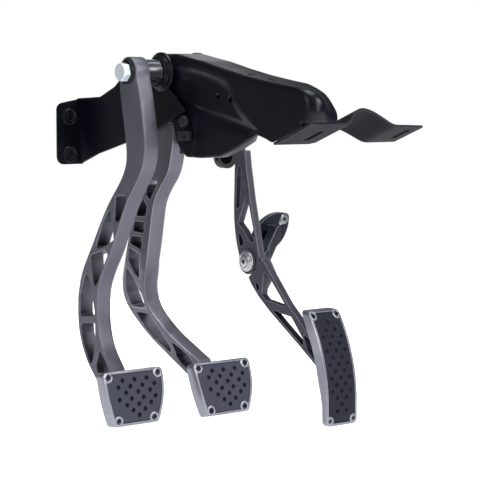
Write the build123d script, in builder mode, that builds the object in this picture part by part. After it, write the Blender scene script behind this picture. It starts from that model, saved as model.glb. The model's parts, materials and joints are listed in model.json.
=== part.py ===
from build123d import *
from math import sin, cos, sqrt, radians, tan
import os

os.makedirs("parts", exist_ok=True)

# ---------------------------------------------------------------------------
# Driving dimensions, millimetres.
# +X is the car's right, +Y points forward to the firewall, +Z is up.
# The origin is the centre of the four firewall holes, on the firewall face.
# "Pivot frame" numbers below are measured from the clutch arm's outer face
# (X) and from the clutch and brake pivot axis (Y, Z); PX, PY, PZ place it.
# ---------------------------------------------------------------------------
PX, PY, PZ = -89.0, -168.0, 74.6

ARM_T = 19.0                # thickness of the clutch and brake arms
SHAFT_R = 11.0              # pivot shaft
SLEEVE_R = 13.0             # chromed spacer sleeve on the shaft
RUN = 0.05                  # running clearance, on the radius
HEAD_R = 17.0               # rounded head of both arms
SHEET = 2.5                 # bracket sheet thickness

WALL_L = 47.0               # outer face of the bracket's left wall
WALL_R = 93.0               # outer face of the bracket's right wall
FW_Y = 168.0                # firewall face
HOLE_DX, HOLE_DZ = 122.0, 44.4   # firewall hole spacing
HOLE_R = 4.25
HOLE_XC, HOLE_ZC = 89.0, -74.6

BRAKE_X0, BRAKE_X1 = 55.0, 107.0    # left face of the brake arm, top and foot
BEND_Z0, BEND_Z1 = -205.0, -350.0   # where the brake arm bends sideways

PAD_TOP, PAD_BOT, PAD_H = 40.5, 30.5, 31.5  # half widths and half height
PAD_D = 17.0                # depth of a pad frame
PAD_R = 150.0               # crown of the clutch and brake pad faces
CLUTCH_PAD = (18.8, 14.0, -369.8, 8.0)
BRAKE_PAD = (128.6, -12.0, -366.0, 14.0)

TH_X = 268.0                # left face of the throttle arm
TH_T = 9.5                  # thickness of the throttle arm plates
TH_Y, TH_Z = 124.0, -238.2  # throttle pivot
TH_PAD_X0, TH_PAD_X1 = 249.8, 298.2
TH_PAD_CY, TH_PAD_CZ = 138.0, -398.0    # centre of the throttle pad's curve
TH_PAD_R, TH_PAD_D = 190.0, 14.0
TH_PLATE = 7.0              # throttle mount plate thickness

# Column saddle, sloping up toward the driver
SAD_Y0, SAD_Z0 = -246.0, -56.0
SAD_Y1, SAD_Z1 = -196.0, -74.5


def side(x):
    """Plane whose sketch coordinates are (Y, Z) of the pivot frame."""
    return Plane(origin=(PX + x, PY, PZ), x_dir=(0, 1, 0), z_dir=(1, 0, 0))


def front(y):
    """Plane whose sketch coordinates are (X, Z); it extrudes to the driver."""
    return Plane(origin=(PX, PY + y, PZ), x_dir=(1, 0, 0), z_dir=(0, -1, 0))


def level(z):
    """Plane whose sketch coordinates are (X, Y); it extrudes upward."""
    return Plane(origin=(PX, PY, PZ + z), x_dir=(1, 0, 0), z_dir=(0, 0, 1))


def window(points, r):
    """Closed outline with rounded corners, in the current sketch."""
    with BuildSketch(mode=Mode.PRIVATE) as s:
        with BuildLine():
            Polyline(*points, close=True)
        make_face()
        fillet(s.vertices(), r)
    return s.sketch


def pad_plane(place):
    """Plane of a pad's face: X across, Y up the pad, Z out to the driver."""
    x, y, z, tilt = place
    t = radians(tilt)
    return Plane(origin=(PX + x, PY + y, PZ + z), x_dir=(1, 0, 0), z_dir=(0, -cos(t), sin(t)))


def pad_back(place):
    """Plane of the flat back of a pad frame."""
    pl = pad_plane(place)
    return Plane(origin=pl.from_local_coords((0, 0, -PAD_D)), x_dir=pl.x_dir, z_dir=pl.z_dir)


def outline(front_pts, rear_pts, head_r, foot):
    """Arm profile: a round head at the pivot, two smooth edges and a foot."""
    with BuildSketch(mode=Mode.PRIVATE) as s:
        with BuildLine():
            a = Spline((-head_r, 0), *front_pts, tangents=((0, -1), foot[0]))
            b = Spline(rear_pts[0], *rear_pts[1:], (head_r, 0), tangents=(foot[1], (0, 1)))
            Line(a @ 1, b @ 0)
            ThreePointArc(b @ 1, (0, head_r), a @ 0)
        make_face()
    return s.sketch


def soften(part, r, planes):
    """Small chamfer on the edges lying in the two faces of a plate."""
    for sel in planes:
        try:
            chamfer(part.edges().filter_by_position(Axis.X, sel - 0.01, sel + 0.01), r)
        except Exception:
            pass


def save(name, builder):
    builder.part.label = name
    export_step(builder.part, f"parts/{name}.step")


# ---------------------------------------------------------------------------
# Clutch arm: a flat plate with machined windows
# ---------------------------------------------------------------------------
CLUTCH_FRONT = [(-21.5, -19), (-26.5, -41), (-31, -65), (-32.5, -85), (-27, -107),
                (-13, -126.5), (2, -145), (14, -165), (25, -185), (35.5, -204),
                (47.5, -221), (58.5, -239), (64, -256.5), (65, -271.5), (64.5, -285.5),
                (62, -299.5), (57, -313), (48.5, -325.5), (33.5, -343.0)]
CLUTCH_REAR = [(23, -398), (49, -375.5), (71, -353), (87, -336.7), (98, -319.2),
               (104.7, -301), (107.2, -282.3), (106.5, -263.3), (101.8, -244),
               (92.9, -224.4), (79.4, -204.6), (66.7, -185.2), (53.7, -165.9),
               (39.2, -146.8), (21.5, -127.8), (8.5, -110.3), (4.2, -97.9),
               (4.8, -80), (8.5, -57.8), (13, -36.7), (16.2, -15.5)]
CLUTCH_WINDOWS = [
    ([(26, -140), (5, -138.5), (5.5, -145), (20.5, -168), (28.5, -168)], 2.4),
    ([(38.5, -155), (34.8, -168), (30.6, -189.5), (50, -197.8), (68.5, -202.5), (52, -170.5)], 2.4),
    ([(49, -202.3), (43, -207.5), (57, -228), (68.5, -246.5), (73, -243.5), (78.3, -221), (79, -211)], 2.4),
    ([(88, -231.5), (80, -243), (76, -258), (71, -279.8), (102, -283.4), (101.6, -260), (97, -246.5)], 2.4),
    ([(100.3, -292.2), (71, -289), (70.7, -305), (73.2, -322), (78, -337), (83.5, -335.5), (95, -316.5), (99.3, -304)], 2.4),
    ([(61.8, -319.5), (53, -328), (41.5, -341), (44, -345.5), (65.5, -348), (68.6, -338)], 2.2),
]

with BuildPart() as clutch_arm:
    with BuildSketch(side(0)):
        add(outline(CLUTCH_FRONT, CLUTCH_REAR, HEAD_R, ((-0.6, -0.8), (0.75, 0.66))))
    extrude(amount=ARM_T)
    with BuildSketch(side(0)):
        Circle(SHAFT_R)
        for pts, r in CLUTCH_WINDOWS:
            add(window(pts, r))
    extrude(amount=ARM_T, mode=Mode.SUBTRACT)
    with BuildSketch(pad_back(CLUTCH_PAD)):
        Rectangle(90, 80)
    extrude(amount=50, mode=Mode.SUBTRACT)
    soften(clutch_arm, 0.9, [PX, PX + ARM_T])
save("clutch_arm", clutch_arm)

# ---------------------------------------------------------------------------
# Brake arm: the same family of shape, bent sideways below the knee
# ---------------------------------------------------------------------------
BRAKE_FRONT = [(-16.5, -22), (-13, -42), (-10, -62), (-9, -78), (-6, -92), (1, -113),
               (16, -131), (29, -150), (34.5, -171), (39.5, -196), (46, -219),
               (60, -242), (72, -262), (76, -280), (68.5, -297), (55.5, -311),
               (35, -324), (8.5, -338.0)]
BRAKE_REAR = [(-1, -373), (20, -363), (46.3, -350), (78.8, -334), (101.6, -316.8),
              (117.2, -298.2), (123.5, -278.6), (116.4, -257.5), (101, -236),
              (88, -215.5), (80, -192), (73, -170), (60, -149), (43, -128), (30, -108),
              (27, -90), (26, -70), (24, -48), (19.5, -20)]
BRAKE_WINDOWS = [
    ([(41, -125), (21, -123), (24, -131), (36.5, -147), (45, -141)], 2.2),
    ([(51, -146), (42, -154), (45.5, -166), (66, -167), (58, -154)], 2.2),
    ([(47, -173), (50, -186), (72, -185), (69, -173)], 2.2),
    ([(51.5, -190.5), (75, -190.5), (78.5, -200), (55, -206)], 2.0),
    ([(57, -211.5), (80.5, -204.5), (84.5, -219), (77, -238), (71, -243)], 2.2),
    ([(91, -228), (83, -243), (80.5, -262), (85, -280), (115, -280), (112.5, -262), (99.5, -240)], 2.6),
    ([(113, -286.5), (83, -286.5), (77, -304), (65, -325), (66.5, -334), (75, -331), (94, -320), (107, -306)], 2.6),
    ([(59, -317.5), (46, -324.5), (28, -334.5), (22, -343), (35, -349.5), (48, -343.5), (57.5, -335)], 2.4),
]


def bend(z):
    """Sideways place of the brake arm's left face at height z."""
    t = min(max((BEND_Z0 - z) / (BEND_Z0 - BEND_Z1), 0), 1)
    return BRAKE_X0 + (BRAKE_X1 - BRAKE_X0) * t * t * (3 - 2 * t)


BAND_Z = [-205, -225, -245, -265, -285, -305, -325, -350]
with BuildPart() as brake_arm:
    with BuildSketch(side(50)):
        add(outline(BRAKE_FRONT, BRAKE_REAR, HEAD_R, ((-0.9, -0.43), (0.9, 0.4))))
    extrude(amount=80)
    with BuildSketch(side(50)):
        Circle(13.5)
        for pts, r in BRAKE_WINDOWS:
            add(window(pts, r))
        with Locations((6, -48)):
            Circle(6.0)
    extrude(amount=80, mode=Mode.SUBTRACT)
    with BuildSketch(front(160)):
        with BuildLine():
            l1 = Line((BRAKE_X0, 30), (BRAKE_X0, BAND_Z[0]))
            l2 = Spline(*[(bend(z), z) for z in BAND_Z], tangents=((0, -1), (0, -1)))
            l3 = Line(l2 @ 1, (BRAKE_X1, -400))
            l4 = Line(l3 @ 1, (BRAKE_X1 + ARM_T, -400))
            l5 = Line(l4 @ 1, (BRAKE_X1 + ARM_T, BAND_Z[-1]))
            l6 = Spline(*[(bend(z) + ARM_T, z) for z in reversed(BAND_Z)], tangents=((0, 1), (0, 1)))
            l7 = Line(l6 @ 1, (BRAKE_X0 + ARM_T, 30))
            l8 = Line(l7 @ 1, l1 @ 0)
        make_face()
    extrude(amount=240, mode=Mode.INTERSECT)
    with BuildSketch(pad_back(BRAKE_PAD)):
        Rectangle(90, 80)
    extrude(amount=50, mode=Mode.SUBTRACT)
save("brake_arm", brake_arm)

# ---------------------------------------------------------------------------
# Clutch and brake pads: cast frame, rubber insert and four screws each
# ---------------------------------------------------------------------------
PAD_SCREWS = [(-34.2, 25.4), (34.2, 25.4), (-24.6, -25.4), (24.6, -25.4)]
PAD_DIMPLES = []
for row, (n, v) in enumerate([(3, 20.5), (4, 13.3), (3, 6.5), (4, -0.8), (3, -7.8), (2, -14.3), (1, -20.5)]):
    shift = [0.5, 2, 3.5, 2, 3.5, 3.5, 3.5][row]
    for k in range(n):
        PAD_DIMPLES.append((shift + (k - (n - 1) / 2) * 16.6, v))


def pad_side(plane, u):
    """Plane across a pad: sketch coordinates (outward, up)."""
    return Plane(origin=plane.from_local_coords((u, 0, 0)), x_dir=plane.z_dir, z_dir=(-1, 0, 0))


def pad_outline(inset):
    t, b, h = PAD_TOP - inset, PAD_BOT - inset * 0.95, PAD_H - inset
    with BuildSketch(mode=Mode.PRIVATE) as s:
        with BuildLine():
            Line((-t, h), (t, h))
            ThreePointArc((t, h), ((t + b) / 2 + 3.4, 0), (b, -h))
            Line((b, -h), (-b, -h))
            ThreePointArc((-b, -h), (-(t + b) / 2 - 2.2, 0), (-t, h))
        make_face()
        fillet(s.vertices(), 5.5 if inset == 0 else 2.5)
    return s.sketch


def crown(depth0, depth1):
    """Slice of the pad between two depths below its crowned face."""
    with BuildSketch(mode=Mode.PRIVATE) as s:
        with BuildLine():
            e = PAD_H + 2
            if depth1 is None:
                fa = ThreePointArc((-(PAD_R - sqrt(PAD_R**2 - e**2)) - depth0, -e), (-depth0, 0),
                                   (-(PAD_R - sqrt(PAD_R**2 - e**2)) - depth0, e))
                Polyline(fa @ 1, (-PAD_D - 4, e), (-PAD_D - 4, -e), fa @ 0)
            else:
                sag = PAD_R - sqrt(PAD_R**2 - e**2)
                fa = ThreePointArc((-sag - depth0, -e), (-depth0, 0), (-sag - depth0, e))
                fb = ThreePointArc((-sag - depth1, -e), (-depth1, 0), (-sag - depth1, e))
                Line(fa @ 0, fb @ 0)
                Line(fa @ 1, fb @ 1)
        make_face()
    return s.sketch


def build_pad(prefix, place):
    pl = pad_plane(place)
    ps = pad_side(pl, -60)
    back = pad_back(place)
    with BuildPart() as rubber:
        with BuildSketch(back):
            add(pad_outline(3.0))
            with Locations(*PAD_SCREWS):
                Circle(6.2, mode=Mode.SUBTRACT)
        extrude(amount=PAD_D + 3)
        with BuildSketch(ps):
            add(crown(-0.5, 3.5))
        extrude(amount=-120, mode=Mode.INTERSECT)
        for u, v in PAD_DIMPLES:
            w = -(PAD_R - sqrt(PAD_R**2 - v**2)) + 0.5
            with Locations(Location(pl.from_local_coords((u, v, w + 1.9)))):
                Sphere(2.9, mode=Mode.SUBTRACT)
    with BuildPart() as screws:
        for u, v in PAD_SCREWS:
            w = -(PAD_R - sqrt(PAD_R**2 - v**2)) - 1.6
            with BuildSketch(Plane(origin=pl.from_local_coords((u, v, w)), x_dir=pl.x_dir, z_dir=pl.z_dir)):
                Circle(3.4)
            extrude(amount=1.4)
            with BuildSketch(Plane(origin=pl.from_local_coords((u, v, w + 1.4)), x_dir=pl.x_dir, z_dir=pl.z_dir)):
                RegularPolygon(1.9, 6)
            extrude(amount=-1.2, mode=Mode.SUBTRACT)
            with BuildSketch(Plane(origin=pl.from_local_coords((u, v, w)), x_dir=pl.x_dir, z_dir=pl.z_dir)):
                Circle(2.0)
            extrude(amount=-9)
    with BuildPart() as frame:
        with BuildSketch(back):
            add(pad_outline(0))
        extrude(amount=PAD_D + 3)
        with BuildSketch(ps):
            add(crown(0, None))
        extrude(amount=-120, mode=Mode.INTERSECT)
        # pocket for the insert
        with BuildPart(mode=Mode.PRIVATE) as pocket:
            with BuildSketch(back):
                add(pad_outline(3.0))
                with Locations(*PAD_SCREWS):
                    Circle(6.2, mode=Mode.SUBTRACT)
            extrude(amount=PAD_D + 3)
            with BuildSketch(ps):
                add(crown(-3, 3.5))
            extrude(amount=-120, mode=Mode.INTERSECT)
        add(pocket.part, mode=Mode.SUBTRACT)
        for u, v in PAD_SCREWS:
            w = -(PAD_R - sqrt(PAD_R**2 - v**2)) - 1.6
            with BuildSketch(Plane(origin=pl.from_local_coords((u, v, w)), x_dir=pl.x_dir, z_dir=pl.z_dir)):
                Circle(4.0)
            extrude(amount=6, mode=Mode.SUBTRACT)
            with BuildSketch(Plane(origin=pl.from_local_coords((u, v, w)), x_dir=pl.x_dir, z_dir=pl.z_dir)):
                Circle(2.0)
            extrude(amount=-9, mode=Mode.SUBTRACT)
        # lightening pockets in the back, beside the arm's foot
        for sx in (-1, 1):
            with BuildSketch(back):
                with Locations((sx * 24.0, 2)):
                    RectangleRounded(13, 34, 3)
            extrude(amount=8, mode=Mode.SUBTRACT)
    save(prefix + "_pad_frame", frame)
    save(prefix + "_pad_rubber", rubber)
    save(prefix + "_pad_screws", screws)


build_pad("clutch", CLUTCH_PAD)
build_pad("brake", BRAKE_PAD)

# ---------------------------------------------------------------------------
# Pivot shaft and what turns with the clutch arm
# ---------------------------------------------------------------------------
SHAFT_END = 116.0
with BuildPart() as pivot_shaft:
    with BuildSketch(side(0)):
        Circle(SHAFT_R)
    extrude(amount=SHAFT_END)
    with BuildSketch(side(0)):
        Circle(6.0)
    extrude(amount=28, mode=Mode.SUBTRACT)
    with BuildSketch(side(113)):
        Circle(SHAFT_R)
        Circle(9.6, mode=Mode.SUBTRACT)
    extrude(amount=1.3, mode=Mode.SUBTRACT)
save("pivot_shaft", pivot_shaft)

with BuildPart() as clutch_sleeve:
    with BuildSketch(side(ARM_T)):
        Circle(SLEEVE_R)
        Circle(SHAFT_R, mode=Mode.SUBTRACT)
    extrude(amount=14.5)
save("clutch_sleeve", clutch_sleeve)

with BuildPart() as clutch_washer:
    with BuildSketch(side(0)):
        Circle(13.6)
        Circle(6.0, mode=Mode.SUBTRACT)
    extrude(amount=-2.6)
    with BuildSketch(side(-2.6)):
        Circle(12.0)
        Circle(10.5, mode=Mode.SUBTRACT)
    extrude(amount=0.9, mode=Mode.SUBTRACT)
save("clutch_washer", clutch_washer)

with BuildPart() as clutch_bolt:
    with BuildSketch(side(-2.6)):
        RegularPolygon(9.5, 6, major_radius=False, rotation=12)
    extrude(amount=-8.2)
    # domed corners of the hexagon head
    with BuildPart(mode=Mode.PRIVATE) as dome:
        with BuildSketch(side(-10.8)):
            Circle(9.3)
        extrude(amount=8.2, taper=-28)
    add(dome.part, mode=Mode.INTERSECT)
    with BuildSketch(side(-2.6)):
        Circle(6.0)
    extrude(amount=29)
save("clutch_bolt", clutch_bolt)

# Lever on the far end of the shaft: it works the clutch rod
with BuildPart() as clutch_lever:
    with BuildSketch(side(104)):
        with BuildLine():
            Polyline((-16, 0), (17, -50), (33, -50), (16, 0), (0, 16), close=True)
        make_face()
        with Locations((25, -50)):
            Circle(9)
        Circle(17)
    extrude(amount=7)
    with BuildSketch(side(104)):
        Circle(SHAFT_R)
        with Locations((25, -50)):
            Circle(4.05)
        with Locations((14, -29)):
            Circle(5)
    extrude(amount=7, mode=Mode.SUBTRACT)
save("clutch_lever", clutch_lever)

with BuildPart() as clutch_rod_pin:
    with BuildSketch(side(104)):
        with Locations((25, -50)):
            Circle(4.05)
    extrude(amount=19)
    with BuildSketch(side(111)):
        with Locations((25, -50)):
            Circle(7)
            Circle(4.05, mode=Mode.SUBTRACT)
    extrude(amount=2)
    with BuildSketch(side(101.5)):
        with Locations((25, -50)):
            Circle(7)
    extrude(amount=2.5)
save("clutch_rod_pin", clutch_rod_pin)

with BuildPart() as shaft_clip:
    with BuildSketch(side(113)):
        Circle(13)
        Circle(9.6, mode=Mode.SUBTRACT)
        with Locations((0, -12)):
            Rectangle(9, 9, mode=Mode.SUBTRACT)
    extrude(amount=1.3)
save("shaft_clip", shaft_clip)

with BuildPart() as shaft_spacer:
    with BuildSketch(side(111)):
        Circle(14)
        Circle(SHAFT_R, mode=Mode.SUBTRACT)
    extrude(amount=2)
save("shaft_spacer", shaft_spacer)

# ---------------------------------------------------------------------------
# Brake hub: tube and bushes that turn on the shaft
# ---------------------------------------------------------------------------
with BuildPart() as brake_hub:
    with BuildSketch(side(53)):
        Circle(SLEEVE_R + 2.8)
        Circle(13.5, mode=Mode.SUBTRACT)
    extrude(amount=2)
    with BuildSketch(side(BRAKE_X0 + ARM_T)):
        Circle(SLEEVE_R + 2.8)
        Circle(13.5, mode=Mode.SUBTRACT)
    extrude(amount=14)
save("brake_hub", brake_hub)

with BuildPart() as brake_hub_bushes:
    for x in (53, 73):
        with BuildSketch(side(x)):
            Circle(13.5)
            Circle(SHAFT_R + RUN, mode=Mode.SUBTRACT)
        extrude(amount=15)
save("brake_hub_bushes", brake_hub_bushes)

with BuildPart() as brake_push_pin:
    with BuildSketch(side(BRAKE_X0)):
        with Locations((6, -48)):
            Circle(6.0)
    extrude(amount=ARM_T + 12)
    with BuildSketch(side(BRAKE_X0 + ARM_T)):
        with Locations((6, -48)):
            Circle(9)
    extrude(amount=2.5)
    with BuildSketch(side(BRAKE_X0)):
        with Locations((6, -48)):
            Circle(8)
    extrude(amount=-2)
save("brake_push_pin", brake_push_pin)

# ---------------------------------------------------------------------------
# Pedal bracket
# ---------------------------------------------------------------------------
RIM0 = 2                    # the turned rim starts at this point of the top edge
TOP = [(28, 8), (14, 15.5), (2, 20.9), (-22, 20.6), (-50, 15.5), (-72, 11.7), (-108, 3.5), (-143, -3.5),
       (-177, -9), (-210, -13.5), (-244, -18.5)]
LOWER = [(-262, -50.5), (-246, -55.8), (-196.3, -74.2), (-184, -70), (-173, -67.5), (-152, -74.5),
         (-104, -93), (-42, -95), (-31, -87), (-24, -76), (-18, -58), (30, -56)]


LOWER_RIGHT = [(-262, -50.5), (-246, -55.8), (-196.3, -74.2), (-184, -70), (-173, -66), (-140, -60),
               (-60, -57), (30, -56)]


def end_arc(p, mid, q, n=6):
    """Points on the arc through three points, without its two ends."""
    with BuildLine(mode=Mode.PRIVATE):
        arc = ThreePointArc(p, mid, q)
    return [((arc @ (i / n)).X, (arc @ (i / n)).Y) for i in range(1, n)]


END_OUT = end_arc(TOP[-1], (-257, -29), (-262, -45)) + [(-262, -45)]
END_IN = [(-262 + SHEET, -45)] + end_arc((-262 + SHEET, -45), (-254.8, -30.5), (-243.5, -21)) + [(-243.5, -21)]


def wall_face(lower):
    with BuildSketch(mode=Mode.PRIVATE) as s:
        with BuildLine():
            Polyline(*TOP, *END_OUT, *lower, close=True)
        make_face()
    return s.sketch


def rim_face():
    """Section of the turned rim: the top strip and the driver's end."""
    with BuildSketch(mode=Mode.PRIVATE) as s:
        with BuildLine():
            Polyline(*TOP[RIM0:], *END_OUT, (-262, -50.5), (-262 + SHEET, -50.5), *END_IN,
                     *[(y, z - SHEET) for y, z in reversed(TOP[RIM0:-1])], close=True)
        make_face()
    return s.sketch


with BuildPart() as bracket_left_half:
    with BuildSketch(side(WALL_L)):
        add(wall_face(LOWER))
        Circle(13.5, mode=Mode.SUBTRACT)
        with Locations((-104, -26.3)):
            Circle(2.4, mode=Mode.SUBTRACT)
        with Locations((-126.4, -29.5)):
            Circle(3.4, mode=Mode.SUBTRACT)
    extrude(amount=SHEET)
    with BuildSketch(side(WALL_L + SHEET)):
        add(rim_face())
    extrude(amount=22 - SHEET)
    # inturned lip along the bottom of the lower lobe
    with BuildSketch(side(WALL_L + SHEET)):
        with BuildLine():
            Polyline((-173, -67.5), (-152, -74.5), (-104, -93), (-42, -95), (-42, -92.5), (-103.6, -90.5), (-151, -72), (-172.2, -65), close=True)
        make_face()
    extrude(amount=12)
    for y, z in ((-144.6, -4), (-178.4, -9.5)):
        with BuildSketch(level(z - 8)):
            with Locations((60.5, y)):
                SlotOverall(14, 5, rotation=90)
        extrude(amount=16, mode=Mode.SUBTRACT)
save("bracket_left_half", bracket_left_half)

with BuildPart() as bracket_right_half:
    with BuildSketch(side(WALL_R)):
        add(wall_face(LOWER_RIGHT))
        Circle(13.5, mode=Mode.SUBTRACT)
        with Locations((-70, -34)):
            Circle(8, mode=Mode.SUBTRACT)
        with Locations((-190, -38)):
            Circle(7, mode=Mode.SUBTRACT)
    extrude(amount=-SHEET)
    with BuildSketch(side(WALL_R - SHEET)):
        add(rim_face())
    extrude(amount=-(24 - SHEET))
save("bracket_right_half", bracket_right_half)


LEG_LEFT = [(FW_Y, -30), (118, -28), (87, -16), (52, 10), (30, 13.5), (12, 8), (-10, -14), (-46, -43),
            (-14, -56), (8, -64), (75, -82.5), (107, -90.5), (128, -95.5), (FW_Y, -109)]
LEG_RIGHT = [(FW_Y, -30), (118, -28), (87, -16), (52, 10), (30, 13.5), (-8, 13), (-38, -20), (-41, -42),
             (-14, -52), (8, -55), (75, -64), (107, -68), (FW_Y, -72)]


def leg(x_wall, s, plate, flange, name):
    """Firewall leg: a side plate and the flange that bolts up; s is the side the flange turns to."""
    holes = ((HOLE_XC + s * HOLE_DX / 2, HOLE_ZC + HOLE_DZ / 2), (HOLE_XC + s * HOLE_DX / 2, HOLE_ZC - HOLE_DZ / 2))
    with BuildPart() as part:
        with BuildSketch(side(x_wall)):
            with BuildLine():
                Polyline(*plate, close=True)
            make_face()
            Circle(23, mode=Mode.SUBTRACT)
        extrude(amount=s * SHEET)
        with BuildSketch(front(FW_Y)):
            with BuildLine():
                Polyline(*flange, close=True)
            f = make_face()
            fillet([v for v in f.vertices() if abs(v.X - flange[1][0]) < 0.01 or abs(v.X - flange[1][0] - PX) < 0.01][:2], 9)
        extrude(amount=SHEET)
        with BuildSketch(front(FW_Y)):
            with Locations(*holes):
                Circle(HOLE_R)
        extrude(amount=SHEET, mode=Mode.SUBTRACT)
        # raised collars pressed round the holes
        with BuildSketch(front(FW_Y - SHEET)):
            with Locations(*holes):
                Circle(11)
                Circle(8.2, mode=Mode.SUBTRACT)
        extrude(amount=1.2)
        # stiffening lip along the top edge of the side plate
        with BuildSketch(side(x_wall)):
            with BuildLine():
                Polyline((FW_Y, -30), (118, -28), (87, -16), (56, 6.9), (56, 3.5), (87, -19), (118, -31), (FW_Y, -33), close=True)
            make_face()
        extrude(amount=s * 6)
    save(name, part)


leg(WALL_L, -1, LEG_LEFT, [(WALL_L, -30), (WALL_L - 36, -36.5), (WALL_L - 36, -109), (WALL_L, -109)], "firewall_leg_left")
leg(WALL_R, 1, LEG_RIGHT, [(WALL_R, -30), (WALL_R + 74, -36.5), (WALL_R + 74, -109), (WALL_R + 42, -109),
                           (WALL_R + 32, -82), (WALL_R, -72)], "firewall_leg_right")

# Bearing bosses welded to both walls, with bushes for the shaft
with BuildPart() as bearing_boss_left:
    with BuildSketch(side(WALL_L)):
        Circle(22.5)
        Circle(13.5, mode=Mode.SUBTRACT)
    extrude(amount=-3.5)
    with BuildSketch(side(WALL_L - 3.5)):
        Circle(19.2)
        Circle(13.5, mode=Mode.SUBTRACT)
    extrude(amount=-3)
    with BuildSketch(side(WALL_L - 6.5)):
        Circle(18)
        Circle(13.5, mode=Mode.SUBTRACT)
    extrude(amount=-5)
save("bearing_boss_left", bearing_boss_left)

with BuildPart() as bearing_boss_right:
    with BuildSketch(side(WALL_R)):
        Circle(22.5)
        Circle(13.5, mode=Mode.SUBTRACT)
    extrude(amount=3.5)
    with BuildSketch(side(WALL_R + 3.5)):
        Circle(19)
        Circle(13.5, mode=Mode.SUBTRACT)
    extrude(amount=5)
save("bearing_boss_right", bearing_boss_right)

with BuildPart() as pivot_bushes:
    with BuildSketch(side(WALL_L - 11.5)):
        Circle(13.5)
        Circle(SHAFT_R + RUN, mode=Mode.SUBTRACT)
    extrude(amount=11.5 + SHEET)
    with BuildSketch(side(WALL_R - SHEET)):
        Circle(13.5)
        Circle(SHAFT_R + RUN, mode=Mode.SUBTRACT)
    extrude(amount=8.5 + SHEET)
save("pivot_bushes", pivot_bushes)

# ---------------------------------------------------------------------------
# Steering column saddle
# ---------------------------------------------------------------------------
SAD_TOP = [(103, 0), (110, 4.2), (119, 13.6), (132.6, 17.6), (146.8, 14.8), (160, 8.4), (172, 1.8), (180, 0)]
SAD_UNDER = [(104, -1), (112, 2.0), (120.6, 11.0), (132.6, 14.8), (145.8, 12.1), (158.8, 5.9), (170.8, -0.7), (179.4, -1)]


def saddle_section(t):
    with BuildSketch(mode=Mode.PRIVATE) as s:
        with BuildLine():
            Polyline((49.5, -t), (49.5, 0), SAD_TOP[0])
            Spline(*SAD_TOP, tangents=((1, 0), (1, 0)))
            Polyline(SAD_TOP[-1], (221, 0), (221, -t), (SAD_UNDER[-1][0], -t))
            Spline(*[(x, y if 0 < i < 7 else -t) for i, (x, y) in enumerate(SAD_UNDER)][::-1],
                   tangents=((-1, 0), (-1, 0)))
            Line((SAD_UNDER[0][0], -t), (49.5, -t))
        make_face()
    return s.sketch


SAD_N = Vector(0, SAD_Z0 - SAD_Z1, SAD_Y1 - SAD_Y0).normalized()
SAD_DIR = Vector(0, SAD_Y0 - SAD_Y1, SAD_Z0 - SAD_Z1).normalized()
with BuildPart() as column_saddle:
    with BuildSketch(Plane(origin=(PX, PY + SAD_Y1, PZ + SAD_Z1), x_dir=(1, 0, 0), z_dir=SAD_DIR)):
        add(saddle_section(2.8))
    extrude(amount=sqrt((SAD_Y0 - SAD_Y1) ** 2 + (SAD_Z0 - SAD_Z1) ** 2))
    sp = Plane(origin=(PX, PY + (SAD_Y0 + SAD_Y1) / 2, PZ + (SAD_Z0 + SAD_Z1) / 2), x_dir=(1, 0, 0),
               z_dir=(0, (SAD_Z1 - SAD_Z0) / 53.3, (SAD_Y1 - SAD_Y0) / 53.3))
    with BuildSketch(sp.offset(-6)):
        with Locations((83, 0), (206.5, 0)):
            SlotOverall(30, 9, rotation=90)
    extrude(amount=12, mode=Mode.SUBTRACT)
    with BuildSketch(level(-90)):
        with BuildLine():
            Polyline((90, -180), (90, -195.5), (97, -196.5), (103, -201), (106.5, -209), (108, -217), (113, -217), (113, -180), close=True)
        make_face()
    extrude(amount=40, mode=Mode.SUBTRACT)
save("column_saddle", column_saddle)

# ---------------------------------------------------------------------------
# Stop lamp switch, its tab and nuts; rubber stops; grommet
# ---------------------------------------------------------------------------
SW_Z, SW_X = -82.0, 64.5
with BuildPart() as switch_tab:
    with BuildSketch(side(WALL_L + SHEET)):
        with BuildLine():
            Polyline((-30, -64), (-30, -91), (-60, -91), (-60, -64), close=True)
        make_face()
    extrude(amount=2)
    with BuildSketch(front(-42)):
        with BuildLine():
            Polyline((WALL_L + SHEET + 2, -66), (77, -66), (77, -91), (WALL_L + SHEET + 2, -91), close=True)
        make_face()
    extrude(amount=2)
    with BuildSketch(front(-42)):
        with Locations((SW_X, SW_Z + 2)):
            Circle(6.0)
    extrude(amount=2, mode=Mode.SUBTRACT)
save("switch_tab", switch_tab)

with BuildPart() as stop_switch:
    with BuildSketch(front(-26)):
        with Locations((SW_X, SW_Z + 2)):
            Circle(6.0)
            Circle(2.55, mode=Mode.SUBTRACT)
    extrude(amount=24)
    with BuildSketch(front(-50)):
        with Locations((SW_X, SW_Z + 2)):
            RectangleRounded(20, 18, 3)
    extrude(amount=24)
    with BuildSketch(front(-74)):
        with Locations((SW_X, SW_Z + 2)):
            RectangleRounded(15, 12, 2)
            RectangleRounded(12, 9, 1.5, mode=Mode.SUBTRACT)
    extrude(amount=9)
save("stop_switch", stop_switch)

with BuildPart() as switch_nuts:
    for y in (-38, -44):
        with BuildSketch(front(y)):
            with Locations((SW_X, SW_Z + 2)):
                RegularPolygon(9, 6, major_radius=False)
                Circle(6.0, mode=Mode.SUBTRACT)
        extrude(amount=4)
save("switch_nuts", switch_nuts)

with BuildPart() as switch_plunger:
    with BuildSketch(front(-10)):
        with Locations((SW_X, SW_Z + 2)):
            Circle(2.5)
    extrude(amount=38)
save("switch_plunger", switch_plunger)

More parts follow.
